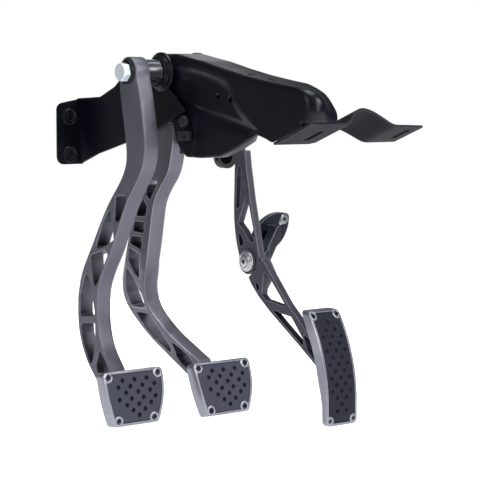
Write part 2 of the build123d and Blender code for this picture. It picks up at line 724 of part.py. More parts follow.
GROM_X, GROM_Z = 145.0, -98.0
with BuildPart() as grommet_bracket:
    with BuildSketch(front(12)):
        with BuildLine():
            Polyline((WALL_R + SHEET, -50), (WALL_R + SHEET, -62), (134.5, -106), (155.5, -90), (149, -79), (110, -50), close=True)
        make_face()
        with Locations((GROM_X, GROM_Z)):
            Circle(13.5)
            Circle(10.5, mode=Mode.SUBTRACT)
    extrude(amount=2.5)
save("grommet_bracket", grommet_bracket)

with BuildPart() as grommet:
    with BuildSketch(front(16)):
        with Locations((GROM_X, GROM_Z)):
            Circle(10.5)
            Circle(6.5, mode=Mode.SUBTRACT)
    extrude(amount=10.5)
    with BuildSketch(front(12)):
        with Locations((GROM_X, GROM_Z)):
            Circle(13.5)
            Circle(6.5, mode=Mode.SUBTRACT)
    extrude(amount=-4)
    with BuildSketch(front(9.5)):
        with Locations((GROM_X, GROM_Z)):
            Circle(13.5)
            Circle(6.5, mode=Mode.SUBTRACT)
    extrude(amount=4)
save("grommet", grommet)

# ---------------------------------------------------------------------------
# Throttle pedal
# ---------------------------------------------------------------------------
TH_UP = [(100.5, -233), (106.2, -210), (113, -183), (119.3, -158.5), (123.6, -136), (127.6, -116.6), (130.2, -97)]
TH_REAR = [(144, -97), (149, -97.5), (150.6, -113), (151.6, -137), (152.5, -164), (152, -187), (149.5, -205), (145, -222.7), (141.2, -233)]

with BuildPart() as throttle_upper_arm:
    with BuildSketch(side(TH_X)):
        with BuildLine():
            p = Polyline(*TH_UP)
            q = Polyline(TH_UP[-1], TH_REAR[0], TH_REAR[1])
            s = Spline(*TH_REAR[1:])
            w = ThreePointArc(TH_REAR[-1], (TH_Y + 6.5, TH_Z - 15.4), (TH_Y - 2, TH_Z - 16.6))
            Line(w @ 1, (104, -243))
            Line((104, -243), TH_UP[0])
        make_face()
    extrude(amount=TH_T)
    # the thin tongue that takes the cable
    with BuildSketch(side(TH_X)):
        with BuildLine():
            Polyline((132, -120), (137, -60), (151, -60), (150.4, -120), close=True)
        make_face()
        with Locations((144, -68)):
            Circle(2.6, mode=Mode.SUBTRACT)
    extrude(amount=4.2)
    with BuildSketch(side(TH_X)):
        with Locations((TH_Y, TH_Z)):
            Circle(8.05)
        add(window([(143.1, -117), (138.5, -118), (136.8, -126), (138.9, -147.7), (141.3, -168.4), (144.3, -172), (147.6, -171), (148, -164), (147.2, -130)], 1.6))
        add(window([(132.4, -136), (131, -136), (130.2, -146.5), (131.9, -146.5)], 0.5))
        add(window([(128.4, -155.4), (124.8, -156.8), (121.6, -166), (109.8, -206), (111.2, -212), (118.8, -213.6), (132.9, -198.9), (144.2, -190.2)], 1.4))
        add(window([(143.4, -204), (139.4, -203.8), (133.6, -211.5), (133.3, -215.8), (136.8, -220.2), (139.8, -220.4), (142.6, -213.4)], 1.2))
        with Locations((126.5, -214)):
            Circle(1.7)
    extrude(amount=TH_T, mode=Mode.SUBTRACT)
save("throttle_upper_arm", throttle_upper_arm)

with BuildPart() as throttle_lower_arm:
    with BuildSketch(side(TH_X)):
        with BuildLine():
            Polyline((96.5, -232), (89, -238), (82, -245.5), (67, -261.3), (44, -285.5), (27.3, -299), (8, -315.5), (-10, -324),
                     (-19.5, -329), (-33.6, -368), (-33, -371), (-8, -354), (20, -335.5), (56.3, -312.5), (80, -297.5),
                     (101, -282), (117, -266.5), (122.5, -258.5), (119, -255.5), (104, -245.5), close=True)
        make_face()
        with Locations((TH_Y, TH_Z)):
            Circle(17.6, mode=Mode.SUBTRACT)
    extrude(amount=TH_T)
    with BuildSketch(side(TH_X + TH_T)):
        with BuildLine():
            Polyline((98, -232), (112, -225), (130, -226), (137, -240), (130, -252), (119, -259), (100, -272), (84, -250), close=True)
        make_face()
        with Locations((TH_Y, TH_Z)):
            Circle(16)
            Circle(8.05, mode=Mode.SUBTRACT)
    extrude(amount=5)
    with BuildSketch(side(TH_X)):
        add(window([(109, -261.5), (101, -267), (100.6, -274.5), (106.5, -272.5)], 1.2))
        add(window([(92, -249.5), (82, -253), (48.5, -287.2), (50, -288.8), (88.5, -284), (95.3, -278.5)], 1.4))
        add(window([(76.5, -294), (55.6, -298.5), (37, -300.5), (13, -327), (15, -334.5), (55, -309)], 1.4))
        add(window([(14, -319), (-11, -330.5), (-24, -358), (-10, -351), (6, -339)], 1.4))
        with Locations((112, -259.5)):
            Circle(1.7)
    extrude(amount=TH_T + 5, mode=Mode.SUBTRACT)
save("throttle_lower_arm", throttle_lower_arm)


def th_arc(r):
    """Three points of the throttle pad's curve at radius r."""
    z0, z1 = -285.5, TH_PAD_CZ
    f = lambda z: TH_PAD_CY - sqrt(r * r - (z - TH_PAD_CZ) ** 2)
    return (f(z0), z0), (f((z0 + z1) / 2), (z0 + z1) / 2), (f(z1), z1)


def th_profile(r_out, r_in):
    with BuildSketch(mode=Mode.PRIVATE) as s:
        with BuildLine():
            a = ThreePointArc(*th_arc(r_out))
            b = ThreePointArc(*th_arc(r_in))
            Polyline(a @ 1, (TH_PAD_CY - r_out, -425), (TH_PAD_CY - r_in, -425), b @ 1)
            Line(a @ 0, b @ 0)
        make_face()
    return s.sketch


TH_PAD_Z0, TH_PAD_Z1 = -423.0, -286.5
TH_SCREWS = [(255.5, -292.2), (292.5, -292.2), (255.5, -416.9), (292.5, -416.9)]
XM = (TH_PAD_X0 + TH_PAD_X1) / 2
ZM = (TH_PAD_Z0 + TH_PAD_Z1) / 2


def th_front_y(z, r):
    return TH_PAD_CY - (r if z < TH_PAD_CZ else sqrt(r * r - (z - TH_PAD_CZ) ** 2))


with BuildPart() as throttle_pad_rubber:
    with BuildSketch(front(80)):
        with Locations((XM, ZM)):
            RectangleRounded(TH_PAD_X1 - TH_PAD_X0 - 6, TH_PAD_Z1 - TH_PAD_Z0 - 6, 2.5)
        with Locations(*TH_SCREWS):
            Circle(5.7, mode=Mode.SUBTRACT)
    extrude(amount=180)
    with BuildSketch(side(200)):
        add(th_profile(TH_PAD_R + 0.5, TH_PAD_R - 3.5))
    extrude(amount=140, mode=Mode.INTERSECT)
    for k in range(14):
        z = -301.5 - k * 8.0
        n = 2 if k % 2 else 3
        sh = 0.0
        for j in range(n):
            x = XM + (j - (n - 1) / 2) * 12.5
            if n == 3 and k in (0, 12) and j != 1:
                continue
            if z < TH_PAD_CZ:
                c = (x, TH_PAD_CY - TH_PAD_R - 0.5 - 2.0, z)
            else:
                y = th_front_y(z, TH_PAD_R + 0.5)
                d = Vector(0, y - TH_PAD_CY, z - TH_PAD_CZ).normalized()
                c = (x, y + d.Y * 2.0, z + d.Z * 2.0)
            with Locations((PX + c[0], PY + c[1], PZ + c[2])):
                Sphere(2.9, mode=Mode.SUBTRACT)
save("throttle_pad_rubber", throttle_pad_rubber)

with BuildPart() as throttle_pad_frame:
    with BuildSketch(front(80)):
        with Locations((XM, ZM)):
            RectangleRounded(TH_PAD_X1 - TH_PAD_X0, TH_PAD_Z1 - TH_PAD_Z0, 5.5)
    extrude(amount=180)
    with BuildSketch(side(200)):
        add(th_profile(TH_PAD_R, TH_PAD_R - TH_PAD_D))
    extrude(amount=140, mode=Mode.INTERSECT)
    with BuildPart(mode=Mode.PRIVATE) as th_pocket:
        with BuildSketch(front(80)):
            with Locations((XM, ZM)):
                RectangleRounded(TH_PAD_X1 - TH_PAD_X0 - 6, TH_PAD_Z1 - TH_PAD_Z0 - 6, 2.5)
            with Locations(*TH_SCREWS):
                Circle(5.7, mode=Mode.SUBTRACT)
        extrude(amount=180)
        with BuildSketch(side(200)):
            add(th_profile(TH_PAD_R + 3, TH_PAD_R - 3.5))
        extrude(amount=140, mode=Mode.INTERSECT)
    add(th_pocket.part, mode=Mode.SUBTRACT)
    # the back is straighter than the face, so the pad thins to both ends
    with BuildSketch(side(200)):
        with BuildLine():
            Polyline((-2.5, -284), (-14.5, -310), (-26.5, -338), (-33.9, -362), (-40.5, -385), (-43.5, -400),
                     (-44.5, -426), (40, -426), (40, -284), close=True)
        make_face()
    extrude(amount=140, mode=Mode.SUBTRACT)
    for x, z in TH_SCREWS:
        y = th_front_y(z, TH_PAD_R)
        d = Vector(0, y - TH_PAD_CY, z - TH_PAD_CZ).normalized() if z > TH_PAD_CZ else Vector(0, -1, 0)
        c = Vector(PX + x, PY + y, PZ + z) - d * 1.6
        with BuildSketch(Plane(origin=c, x_dir=(1, 0, 0), z_dir=d)):
            Circle(3.5)
        extrude(amount=8, mode=Mode.SUBTRACT)
        with BuildSketch(Plane(origin=c, x_dir=(1, 0, 0), z_dir=d)):
            Circle(1.8)
        extrude(amount=-4.5, mode=Mode.SUBTRACT)
save("throttle_pad_frame", throttle_pad_frame)

with BuildPart() as throttle_pad_screws:
    for x, z in TH_SCREWS:
        y = th_front_y(z, TH_PAD_R)
        d = Vector(0, y - TH_PAD_CY, z - TH_PAD_CZ).normalized() if z > TH_PAD_CZ else Vector(0, -1, 0)
        c = Vector(PX + x, PY + y, PZ + z) - d * 1.6
        with BuildSketch(Plane(origin=c, x_dir=(1, 0, 0), z_dir=d)):
            Circle(3.0)
        extrude(amount=1.4)
        with BuildSketch(Plane(origin=c + d * 1.4, x_dir=(1, 0, 0), z_dir=d)):
            RegularPolygon(1.7, 6)
        extrude(amount=-1.2, mode=Mode.SUBTRACT)
        with BuildSketch(Plane(origin=c, x_dir=(1, 0, 0), z_dir=d)):
            Circle(1.8)
        extrude(amount=-4.5)
save("throttle_pad_screws", throttle_pad_screws)

with BuildPart() as throttle_set_screws:
    for (y, z), d in (((126.5, -214), TH_T), ((112, -259.5), TH_T)):
        with BuildSketch(side(TH_X + 1)):
            with Locations((y, z)):
                Circle(1.7)
                RegularPolygon(0.9, 6, mode=Mode.SUBTRACT)
        extrude(amount=d - 1.5)
save("throttle_set_screws", throttle_set_screws)

# The arms are clamped to a flanged bush that turns on the pivot bolt
with BuildPart() as throttle_bush:
    with BuildSketch(side(TH_X)):
        with Locations((TH_Y, TH_Z)):
            Circle(8.05)
            Circle(4.0 + RUN, mode=Mode.SUBTRACT)
    extrude(amount=TH_T + 5)
save("throttle_bush", throttle_bush)

BARREL_X = TH_X + TH_T + 6.0
with BuildPart() as throttle_pivot_bolt:
    with BuildSketch(side(TH_X - 1)):
        with Locations((TH_Y, TH_Z)):
            Circle(10.4)
    extrude(amount=-5.5, taper=18)
    with BuildSketch(side(TH_X - 6.5)):
        with Locations((TH_Y, TH_Z)):
            RegularPolygon(2.6, 6)
    extrude(amount=4, mode=Mode.SUBTRACT)
    with BuildSketch(side(TH_X - 1)):
        with Locations((TH_Y, TH_Z)):
            Circle(4.0)
    extrude(amount=TH_T + 5 + 1 + 11.5)
save("throttle_pivot_bolt", throttle_pivot_bolt)

with BuildPart() as throttle_pivot_washer:
    with BuildSketch(side(TH_X - 1)):
        with Locations((TH_Y, TH_Z)):
            Circle(12.2)
            Circle(4.0 + RUN, mode=Mode.SUBTRACT)
    extrude(amount=0.8)
save("throttle_pivot_washer", throttle_pivot_washer)

# Mount: leaf-shaped plate on the firewall, with an arm to the pivot barrel
LEAF_X, LEAF_Z, LEAF_A = 336.0, -207.5, 37.0
LEAF_HALF, LEAF_WIDE, LEAF_HOLE = 39.0, 21.0, 28.0


def leaf_plane(y):
    a = radians(LEAF_A)
    return Plane(origin=(PX + LEAF_X, PY + y, PZ + LEAF_Z), x_dir=(cos(a), 0, sin(a)), z_dir=(0, -1, 0))


with BuildPart() as throttle_mount:
    with BuildSketch(leaf_plane(FW_Y)):
        with BuildLine():
            ThreePointArc((-LEAF_HALF, 0), (0, LEAF_WIDE), (LEAF_HALF, 0))
            ThreePointArc((LEAF_HALF, 0), (0, -LEAF_WIDE), (-LEAF_HALF, 0))
        leaf = make_face()
        fillet(leaf.vertices(), 6)
    extrude(amount=TH_PLATE)
    with BuildPart(mode=Mode.PRIVATE) as reach:
        with BuildSketch(front(FW_Y - TH_PLATE)):
            with Locations(((289 + 335) / 2, (-238.2 - 207) / 2)):
                SlotCenterToCenter(sqrt(46**2 + 31.2**2), 19, rotation=34.2)
        extrude(amount=52)
        with BuildSketch(level(-190)):
            with BuildLine():
                Polyline((283.5, 112), (283.5, 136), (308, 141), (325, 151), (325, 165), (347, 165),
                         (347, 152), (296, 117), (296, 114), close=True)
            make_face()
        extrude(amount=-80, mode=Mode.INTERSECT)
    add(reach.part)
    with BuildSketch(side(BARREL_X)):
        with Locations((TH_Y, TH_Z)):
            Circle(11.0)
    extrude(amount=12.5)
    with BuildSketch(side(BARREL_X)):
        with Locations((TH_Y, TH_Z)):
            Circle(4.0)
    extrude(amount=11, mode=Mode.SUBTRACT)
    # recess for the return spring
    with BuildSketch(side(BARREL_X)):
        with Locations((TH_Y, TH_Z)):
            Circle(8.5)
    extrude(amount=7.5, mode=Mode.SUBTRACT)
    with BuildSketch(leaf_plane(FW_Y - TH_PLATE)):
        with Locations((-LEAF_HOLE, 0), (LEAF_HOLE, 0)):
            SlotOverall(9.5, 6.6)
    extrude(amount=-TH_PLATE, mode=Mode.SUBTRACT)
    with BuildSketch(leaf_plane(FW_Y - TH_PLATE)):
        with Locations((-LEAF_HOLE, 0), (LEAF_HOLE, 0)):
            SlotOverall(14, 11)
    extrude(amount=-2.5, mode=Mode.SUBTRACT)
save("throttle_mount", throttle_mount)

with BuildPart() as throttle_mount_screws:
    for s in (-1, 1):
        c = leaf_plane(FW_Y - TH_PLATE + 2.5).from_local_coords((s * LEAF_HOLE, 0, 0))
        with BuildSketch(Plane(origin=c, x_dir=(1, 0, 0), z_dir=(0, -1, 0))):
            Circle(5.1)
        extrude(amount=3.6)
        with BuildSketch(Plane(origin=c + Vector(0, -3.6, 0), x_dir=(1, 0, 0), z_dir=(0, -1, 0))):
            RegularPolygon(2.6, 6)
        extrude(amount=-2.2, mode=Mode.SUBTRACT)
        with BuildSketch(Plane(origin=c, x_dir=(1, 0, 0), z_dir=(0, -1, 0))):
            Circle(3.2)
        extrude(amount=-4.5)
        with BuildSketch(Plane(origin=c, x_dir=(1, 0, 0), z_dir=(0, -1, 0))):
            Circle(3.0)
        extrude(amount=-16)
save("throttle_mount_screws", throttle_mount_screws)

# ---------------------------------------------------------------------------
# Torsion return springs
# ---------------------------------------------------------------------------
def coil(name, x, y, z, radius, wire, pitch, length):
    with BuildPart() as spring:
        with BuildLine() as path:
            Helix(pitch=pitch, height=length, radius=radius, center=(PX + x, PY + y, PZ + z), direction=(1, 0, 0))
        with BuildSketch(Plane(origin=path.line @ 0, z_dir=path.line % 0)):
            Circle(wire)
        sweep(path=path.line, is_frenet=True)
    save(name, spring)


coil("brake_return_spring", 76.0, 0, 0, 17.0, 1.0, 2.6, 10.4)
coil("clutch_return_spring", 98.3, 0, 0, 21.2, 1.3, 2.8, 2.8)
coil("throttle_return_spring", 284.8, TH_Y, TH_Z, 6.5, 0.8, 1.8, 5.0)
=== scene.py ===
import bpy
import bmesh
import json
from math import radians, pi, sin, cos, atan2, sqrt
from mathutils import Vector, Matrix


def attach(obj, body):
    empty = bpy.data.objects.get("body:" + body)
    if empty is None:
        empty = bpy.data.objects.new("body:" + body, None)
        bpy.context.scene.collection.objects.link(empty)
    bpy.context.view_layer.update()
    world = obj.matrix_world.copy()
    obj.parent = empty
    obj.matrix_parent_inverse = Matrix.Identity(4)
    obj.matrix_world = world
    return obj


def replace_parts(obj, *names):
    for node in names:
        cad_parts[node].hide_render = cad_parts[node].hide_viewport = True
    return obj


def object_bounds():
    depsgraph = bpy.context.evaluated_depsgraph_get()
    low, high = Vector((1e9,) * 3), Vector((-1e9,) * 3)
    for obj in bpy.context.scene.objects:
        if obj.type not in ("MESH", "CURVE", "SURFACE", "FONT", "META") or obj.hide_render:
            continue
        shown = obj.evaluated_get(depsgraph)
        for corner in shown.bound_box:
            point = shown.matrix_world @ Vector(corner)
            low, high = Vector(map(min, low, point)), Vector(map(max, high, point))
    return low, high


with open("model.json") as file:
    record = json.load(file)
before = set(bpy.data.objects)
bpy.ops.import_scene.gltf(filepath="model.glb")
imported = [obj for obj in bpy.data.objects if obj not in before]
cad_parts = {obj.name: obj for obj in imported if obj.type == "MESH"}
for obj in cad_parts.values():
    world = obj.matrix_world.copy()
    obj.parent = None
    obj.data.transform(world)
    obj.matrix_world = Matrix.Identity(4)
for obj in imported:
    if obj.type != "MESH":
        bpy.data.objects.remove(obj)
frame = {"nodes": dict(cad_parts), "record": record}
box_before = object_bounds()
nodes = frame["nodes"]

# The pivot frame of the pedals, in millimetres, seen from the row's origin
OX, OY, OZ = -89.0, -168.0, 74.6


def P(x, y, z):
    return Vector(((x + OX) / 1000.0, (y + OY) / 1000.0, (z + OZ) / 1000.0))


# ---------------------------------------------------------------------------
# Materials
# ---------------------------------------------------------------------------
def new_material(name):
    m = bpy.data.materials.new(name)
    m.use_nodes = True
    nt = m.node_tree
    for n in list(nt.nodes):
        nt.nodes.remove(n)
    out = nt.nodes.new("ShaderNodeOutputMaterial")
    bsdf = nt.nodes.new("ShaderNodeBsdfPrincipled")
    nt.links.new(bsdf.outputs[0], out.inputs[0])
    return m, nt, bsdf


def noise(nt, coord, scale, detail=4.0, rough=0.5, stretch=None):
    src = coord
    if stretch is not None:
        mp = nt.nodes.new("ShaderNodeMapping")
        mp.inputs["Scale"].default_value = stretch
        nt.links.new(coord, mp.inputs["Vector"])
        src = mp.outputs[0]
    n = nt.nodes.new("ShaderNodeTexNoise")
    n.inputs["Scale"].default_value = scale
    n.inputs["Detail"].default_value = detail
    n.inputs["Roughness"].default_value = rough
    nt.links.new(src, n.inputs["Vector"])
    return n.outputs["Fac"]


def ramp(nt, fac, a, b, lo=0.3, hi=0.7):
    r = nt.nodes.new("ShaderNodeValToRGB")
    r.color_ramp.elements[0].position = lo
    r.color_ramp.elements[0].color = (*a, 1)
    r.color_ramp.elements[1].position = hi
    r.color_ramp.elements[1].color = (*b, 1)
    nt.links.new(fac, r.inputs[0])
    return r.outputs[0]


def spread(nt, fac, a, b, lo=0.3, hi=0.7):
    m = nt.nodes.new("ShaderNodeMapRange")
    m.inputs["From Min"].default_value = lo
    m.inputs["From Max"].default_value = hi
    m.inputs["To Min"].default_value = a
    m.inputs["To Max"].default_value = b
    nt.links.new(fac, m.inputs["Value"])
    return m.outputs[0]


def bump(nt, bsdf, height, strength, distance):
    b = nt.nodes.new("ShaderNodeBump")
    b.inputs["Strength"].default_value = strength
    b.inputs["Distance"].default_value = distance
    nt.links.new(height, b.inputs["Height"])
    nt.links.new(b.outputs[0], bsdf.inputs["Normal"])
    return b


def worn(nt, colour, bright, lo=0.52, hi=0.62, amount=0.6):
    """Lighter along raised edges."""
    g = nt.nodes.new("ShaderNodeNewGeometry")
    f = spread(nt, g.outputs["Pointiness"], 0.0, amount, lo, hi)
    mix = nt.nodes.new("ShaderNodeMix")
    mix.data_type = "RGBA"
    nt.links.new(f, mix.inputs[0])
    nt.links.new(colour, mix.inputs[6])
    mix.inputs[7].default_value = (*bright, 1)
    return mix.outputs[2]


def shade(nt, colour, dark, lit):
    """Painted shade and painted highlight: darker inside the windows where ambient occlusion finds nearby faces,
    lighter on the outer edges where inside ambient occlusion finds sharp corners.
    """
    for tone, inside_out, dist, lo, hi in ((dark, False, 0.022, 0.38, 0.86), (lit, True, 0.0017, 0.60, 0.93)):
        ao = nt.nodes.new("ShaderNodeAmbientOcclusion")
        ao.only_local = True
        ao.samples = 10
        ao.inside = inside_out
        ao.inputs["Distance"].default_value = dist
        mix = nt.nodes.new("ShaderNodeMix")
        mix.data_type = "RGBA"
        nt.links.new(spread(nt, ao.outputs["AO"], 1.0, 0.0, lo, hi), mix.inputs[0])
        nt.links.new(colour, mix.inputs[6])
        mix.inputs[7].default_value = (*tone, 1)
        colour = mix.outputs[2]
    return colour


def metal(name, a, b, rough, metallic=1.0, grain=1400.0, bump_size=0.00004, strength=0.35,
          stretch=None, wear=None, rough_var=0.08, spec=0.5, coat=0.0, coat_rough=0.1, blotch=26.0, dark=None, lit=None):
    m, nt, bsdf = new_material(name)
    co = nt.nodes.new("ShaderNodeTexCoord").outputs["Object"]
    wide = noise(nt, co, blotch, 5.0, 0.55)
    fine = noise(nt, co, grain, 3.0, 0.6, stretch)
    col = ramp(nt, wide, a, b, 0.3, 0.7)
    if wear is not None:
        col = worn(nt, col, wear)
    # dark and lit paint light into the colour: painted shade in windows and corners, painted highlight on convex edges
    if dark is not None:
        col = shade(nt, col, dark, lit)
    nt.links.new(col, bsdf.inputs["Base Color"])
    mixf = nt.nodes.new("ShaderNodeMath")
    mixf.operation = "MULTIPLY_ADD"
    nt.links.new(fine, mixf.inputs[0])
    mixf.inputs[1].default_value = 0.5
    nt.links.new(wide, mixf.inputs[2])
    nt.links.new(spread(nt, mixf.outputs[0], max(0.02, rough - rough_var), rough + rough_var, 0.5, 1.0),
                 bsdf.inputs["Roughness"])
    bsdf.inputs["Metallic"].default_value = metallic
    bsdf.inputs["Specular IOR Level"].default_value = spec
    bsdf.inputs["Coat Weight"].default_value = coat
    bsdf.inputs["Coat Roughness"].default_value = coat_rough
    bump(nt, bsdf, fine, strength, bump_size)
    return m


def rubber(name, a, b, rough=0.6, grain=900.0):
    m, nt, bsdf = new_material(name)
    co = nt.nodes.new("ShaderNodeTexCoord").outputs["Object"]
    wide = noise(nt, co, 55.0, 5.0, 0.6)
    fine = noise(nt, co, grain, 4.0, 0.65)
    nt.links.new(ramp(nt, wide, a, b, 0.3, 0.7), bsdf.inputs["Base Color"])
    nt.links.new(spread(nt, fine, rough - 0.08, rough + 0.1), bsdf.inputs["Roughness"])
    bsdf.inputs["Specular IOR Level"].default_value = 0.32
    bump(nt, bsdf, fine, 0.4, 0.00006)
    return m


# both arm materials take dark and lit: painted shade inside their windows, painted highlight along their edges
ARM = metal("arm_anodised", (0.128, 0.127, 0.156), (0.146, 0.145, 0.176), 0.48, metallic=0.75,
            grain=2600.0, bump_size=0.00004, strength=0.4, dark=(0.022, 0.023, 0.034), lit=(0.36, 0.36, 0.41))
ARM_DARK = metal("arm_anodised_dark", (0.066, 0.066, 0.086), (0.078, 0.078, 0.100), 0.50, metallic=0.7,
                 grain=2600.0, bump_size=0.00004, strength=0.4, dark=(0.014, 0.014, 0.022), lit=(0.21, 0.21, 0.25))
PAD = metal("pad_metal", (0.205, 0.208, 0.262), (0.25, 0.253, 0.308), 0.40, metallic=0.85, grain=2400.0,
            bump_size=0.00003, wear=(0.85, 0.85, 0.88))
RIM = metal("pad_rim_bright", (0.31, 0.315, 0.365), (0.37, 0.375, 0.425), 0.38, metallic=0.7, grain=2400.0,
            bump_size=0.00002, strength=0.2)
PADRUB = rubber("pad_rubber", (0.034, 0.036, 0.058), (0.042, 0.044, 0.069), 0.62)
THRUB = rubber("throttle_rubber", (0.0085, 0.0098, 0.0190), (0.0118, 0.0130, 0.0245), 0.68)
THRUB.node_tree.nodes["Principled BSDF"].inputs["Specular IOR Level"].default_value = 0.26
# near-black rubber for the pad pits, the hex sockets and the switch slot: painted shade in these recesses
RECESS_SHADE = rubber("recess_painted_shade", (0.0040, 0.0045, 0.0090), (0.0070, 0.0075, 0.0140), 0.6)
RECESS_SHADE.node_tree.nodes["Principled BSDF"].inputs["Specular IOR Level"].default_value = 0.15
# near-black, almost unreflective: painted shade filling a hole
HOLE_SHADE = rubber("hole_painted_shade", (0.0008, 0.0008, 0.0010), (0.0014, 0.0014, 0.0018), 0.85)
HOLE_SHADE.node_tree.nodes["Principled BSDF"].inputs["Specular IOR Level"].default_value = 0.02
BLACK = metal("bracket_paint", (0.0020, 0.0023, 0.0056), (0.0032, 0.0036, 0.0084), 0.33, metallic=0.0,
              grain=60.0, bump_size=0.00006, strength=0.08, spec=0.20, coat=0.13, coat_rough=0.22,
              rough_var=0.04, wear=(0.035, 0.035, 0.05))
SADDLE = metal("saddle_paint", (0.0062, 0.0066, 0.0100), (0.0080, 0.0085, 0.0125), 0.60, metallic=0.0,
               grain=900.0, bump_size=0.00003, strength=0.15, spec=0.10, rough_var=0.04, wear=(0.05, 0.05, 0.065))
BOX = rubber("switch_box_grey", (0.020, 0.021, 0.028), (0.027, 0.028, 0.036), 0.40, 1200.0)
SLEEVE = metal("sleeve_dark_polish", (0.36, 0.36, 0.39), (0.42, 0.42, 0.45), 0.20, grain=1500.0,
               bump_size=0.00001, strength=0.08, rough_var=0.03)
SEAL = rubber("seal_black", (0.004, 0.004, 0.006), (0.008, 0.008, 0.010), 0.34, 400.0)
# mount_black takes dark and lit: painted shade in its corners, painted highlight along its edges
MOUNT = metal("mount_black", (0.0085, 0.0105, 0.0190), (0.0115, 0.0140, 0.0245), 0.46, metallic=0.1, grain=1500.0,
              bump_size=0.00004, spec=0.22, dark=(0.003, 0.0035, 0.006), lit=(0.15, 0.16, 0.20))
ZINC = metal("zinc", (0.74, 0.83, 0.89), (0.80, 0.89, 0.94), 0.36, metallic=0.4, grain=900.0, bump_size=0.00002,
             blotch=60.0, wear=(0.85, 0.88, 0.88))
CHROME = metal("polished", (0.50, 0.49, 0.52), (0.53, 0.52, 0.55), 0.31, metallic=0.75, grain=1500.0, bump_size=0.00001,
               strength=0.03, rough_var=0.02)
STAIN = metal("stainless", (0.52, 0.52, 0.53), (0.64, 0.64, 0.65), 0.26, grain=1400.0, bump_size=0.00003)
SPRING = metal("spring_steel", (0.16, 0.16, 0.18), (0.26, 0.26, 0.28), 0.32, grain=1100.0, bump_size=0.00003)
BRONZE = metal("bush_bronze", (0.36, 0.24, 0.10), (0.48, 0.33, 0.16), 0.36, grain=1200.0, bump_size=0.00003)
PLASTIC = rubber("black_plastic", (0.014, 0.014, 0.016), (0.022, 0.022, 0.024), 0.42, 1500.0)
RUB = rubber("soft_rubber", (0.010, 0.010, 0.012), (0.018, 0.018, 0.020), 0.55)
SCREW = metal("screw_dark", (0.035, 0.035, 0.042), (0.060, 0.060, 0.070), 0.34, metallic=0.9, grain=1200.0,
              bump_size=0.00003, wear=(0.3, 0.3, 0.33))

by_slot = {"arm_anodised": ARM, "pad_metal": PAD, "pad_rubber": PADRUB, "bracket_paint": BLACK,
           "mount_black": MOUNT, "zinc": ZINC, "polished": CHROME, "stainless": STAIN,
           "spring_steel": SPRING, "bush_bronze": BRONZE, "black_plastic": PLASTIC, "rubber": RUB,
           "screw_dark": SCREW}
slot_of = {s["node"]: s["material_slot"] for s in frame["record"]["subparts"]}

bevels = {"clutch_arm": 0.9, "brake_arm": 0.9, "throttle_upper_arm": 0.5, "throttle_lower_arm": 0.7,
          "clutch_pad_frame": 1.0, "brake_pad_frame": 1.0, "throttle_pad_frame": 1.0,
          "firewall_leg_left": 0.6, "firewall_leg_right": 0.6, "throttle_mount": 1.0,
          "bearing_boss_left": 0.6, "bearing_boss_right": 0.6, "grommet_bracket": 0.5}
special = {"throttle_upper_arm": ARM_DARK, "throttle_lower_arm": ARM_DARK, "column_saddle": SADDLE,
           "pivot_bushes": SEAL, "clutch_sleeve": SLEEVE}
for name, ob in nodes.items():
    m = special.get(name, by_slot[slot_of[name]])
    ob.data.materials.clear()
    ob.data.materials.append(m)
    w = ob.modifiers.new("weld", "WELD")
    w.merge_threshold = 0.00001
    b = ob.modifiers.new("bevel", "BEVEL")
    b.width = bevels.get(name, 0.3) / 1000.0
    b.segments = 2
    b.limit_method = "ANGLE"
    b.angle_limit = radians(35)
    b.use_clamp_overlap = True
    b.harden_normals = True

# ---------------------------------------------------------------------------
# Mesh helpers
# ---------------------------------------------------------------------------
def add_object(name, me, material, body, smooth=True):
    ob = bpy.data.objects.new(name, me)
    bpy.context.scene.collection.objects.link(ob)
    me.materials.clear()
    me.materials.append(material)
    if smooth:
        for p in me.polygons:
            p.use_smooth = True
    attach(ob, body)
    return ob


def resample(pts, n):
    """n + 1 points evenly spaced along a polyline."""
    d = [0.0]
    for a, b in zip(pts, pts[1:]):
        d.append(d[-1] + sqrt((b[0] - a[0]) ** 2 + (b[1] - a[1]) ** 2))
    out, k = [], 0
    for i in range(n + 1):
        t = d[-1] * i / n
        while k < len(pts) - 2 and d[k + 1] < t:
            k += 1
        f = (t - d[k]) / max(1e-9, d[k + 1] - d[k])
        out.append((pts[k][0] + f * (pts[k + 1][0] - pts[k][0]), pts[k][1] + f * (pts[k + 1][1] - pts[k][1])))
    return out


def relax(pts, turns, fixed=()):
    for _ in range(turns):
        new = list(pts)
        for i in range(1, len(pts) - 1):
            if i not in fixed:
                new[i] = tuple(0.25 * pts[i - 1][k] + 0.5 * pts[i][k] + 0.25 * pts[i + 1][k] for k in (0, 1))
        pts = new
    return pts


def to_line(p, line):
    """Distance from a point to a polyline."""
    best = 1e9
    for a, b in zip(line, line[1:]):
        vx, vy = b[0] - a[0], b[1] - a[1]
        t = max(0.0, min(1.0, ((p[0] - a[0]) * vx + (p[1] - a[1]) * vy) / (vx * vx + vy * vy)))
        best = min(best, sqrt((p[0] - a[0] - t * vx) ** 2 + (p[1] - a[1] - t * vy) ** 2))
    return best


def inside(p, poly):
    c = False
    for (x1, y1), (x2, y2) in zip(poly, poly[1:] + poly[:1]):
        if (y1 > p[1]) != (y2 > p[1]) and p[0] < (x2 - x1) * (p[1] - y1) / (y2 - y1) + x1:
            c = not c
    return c


def ease(t):
    t = max(0.0, min(1.0, t))
    return t * t * (3 - 2 * t)


def at(line, x):
    """Height of a polyline, given as x then y, at x."""
    pts = sorted(line)
    if x <= pts[0][0]:
        return pts[0][1]
    for a, b in zip(pts, pts[1:]):
        if x <= b[0]:
            return a[1] + (b[1] - a[1]) * (x - a[0]) / (b[0] - a[0])
    return pts[-1][1]


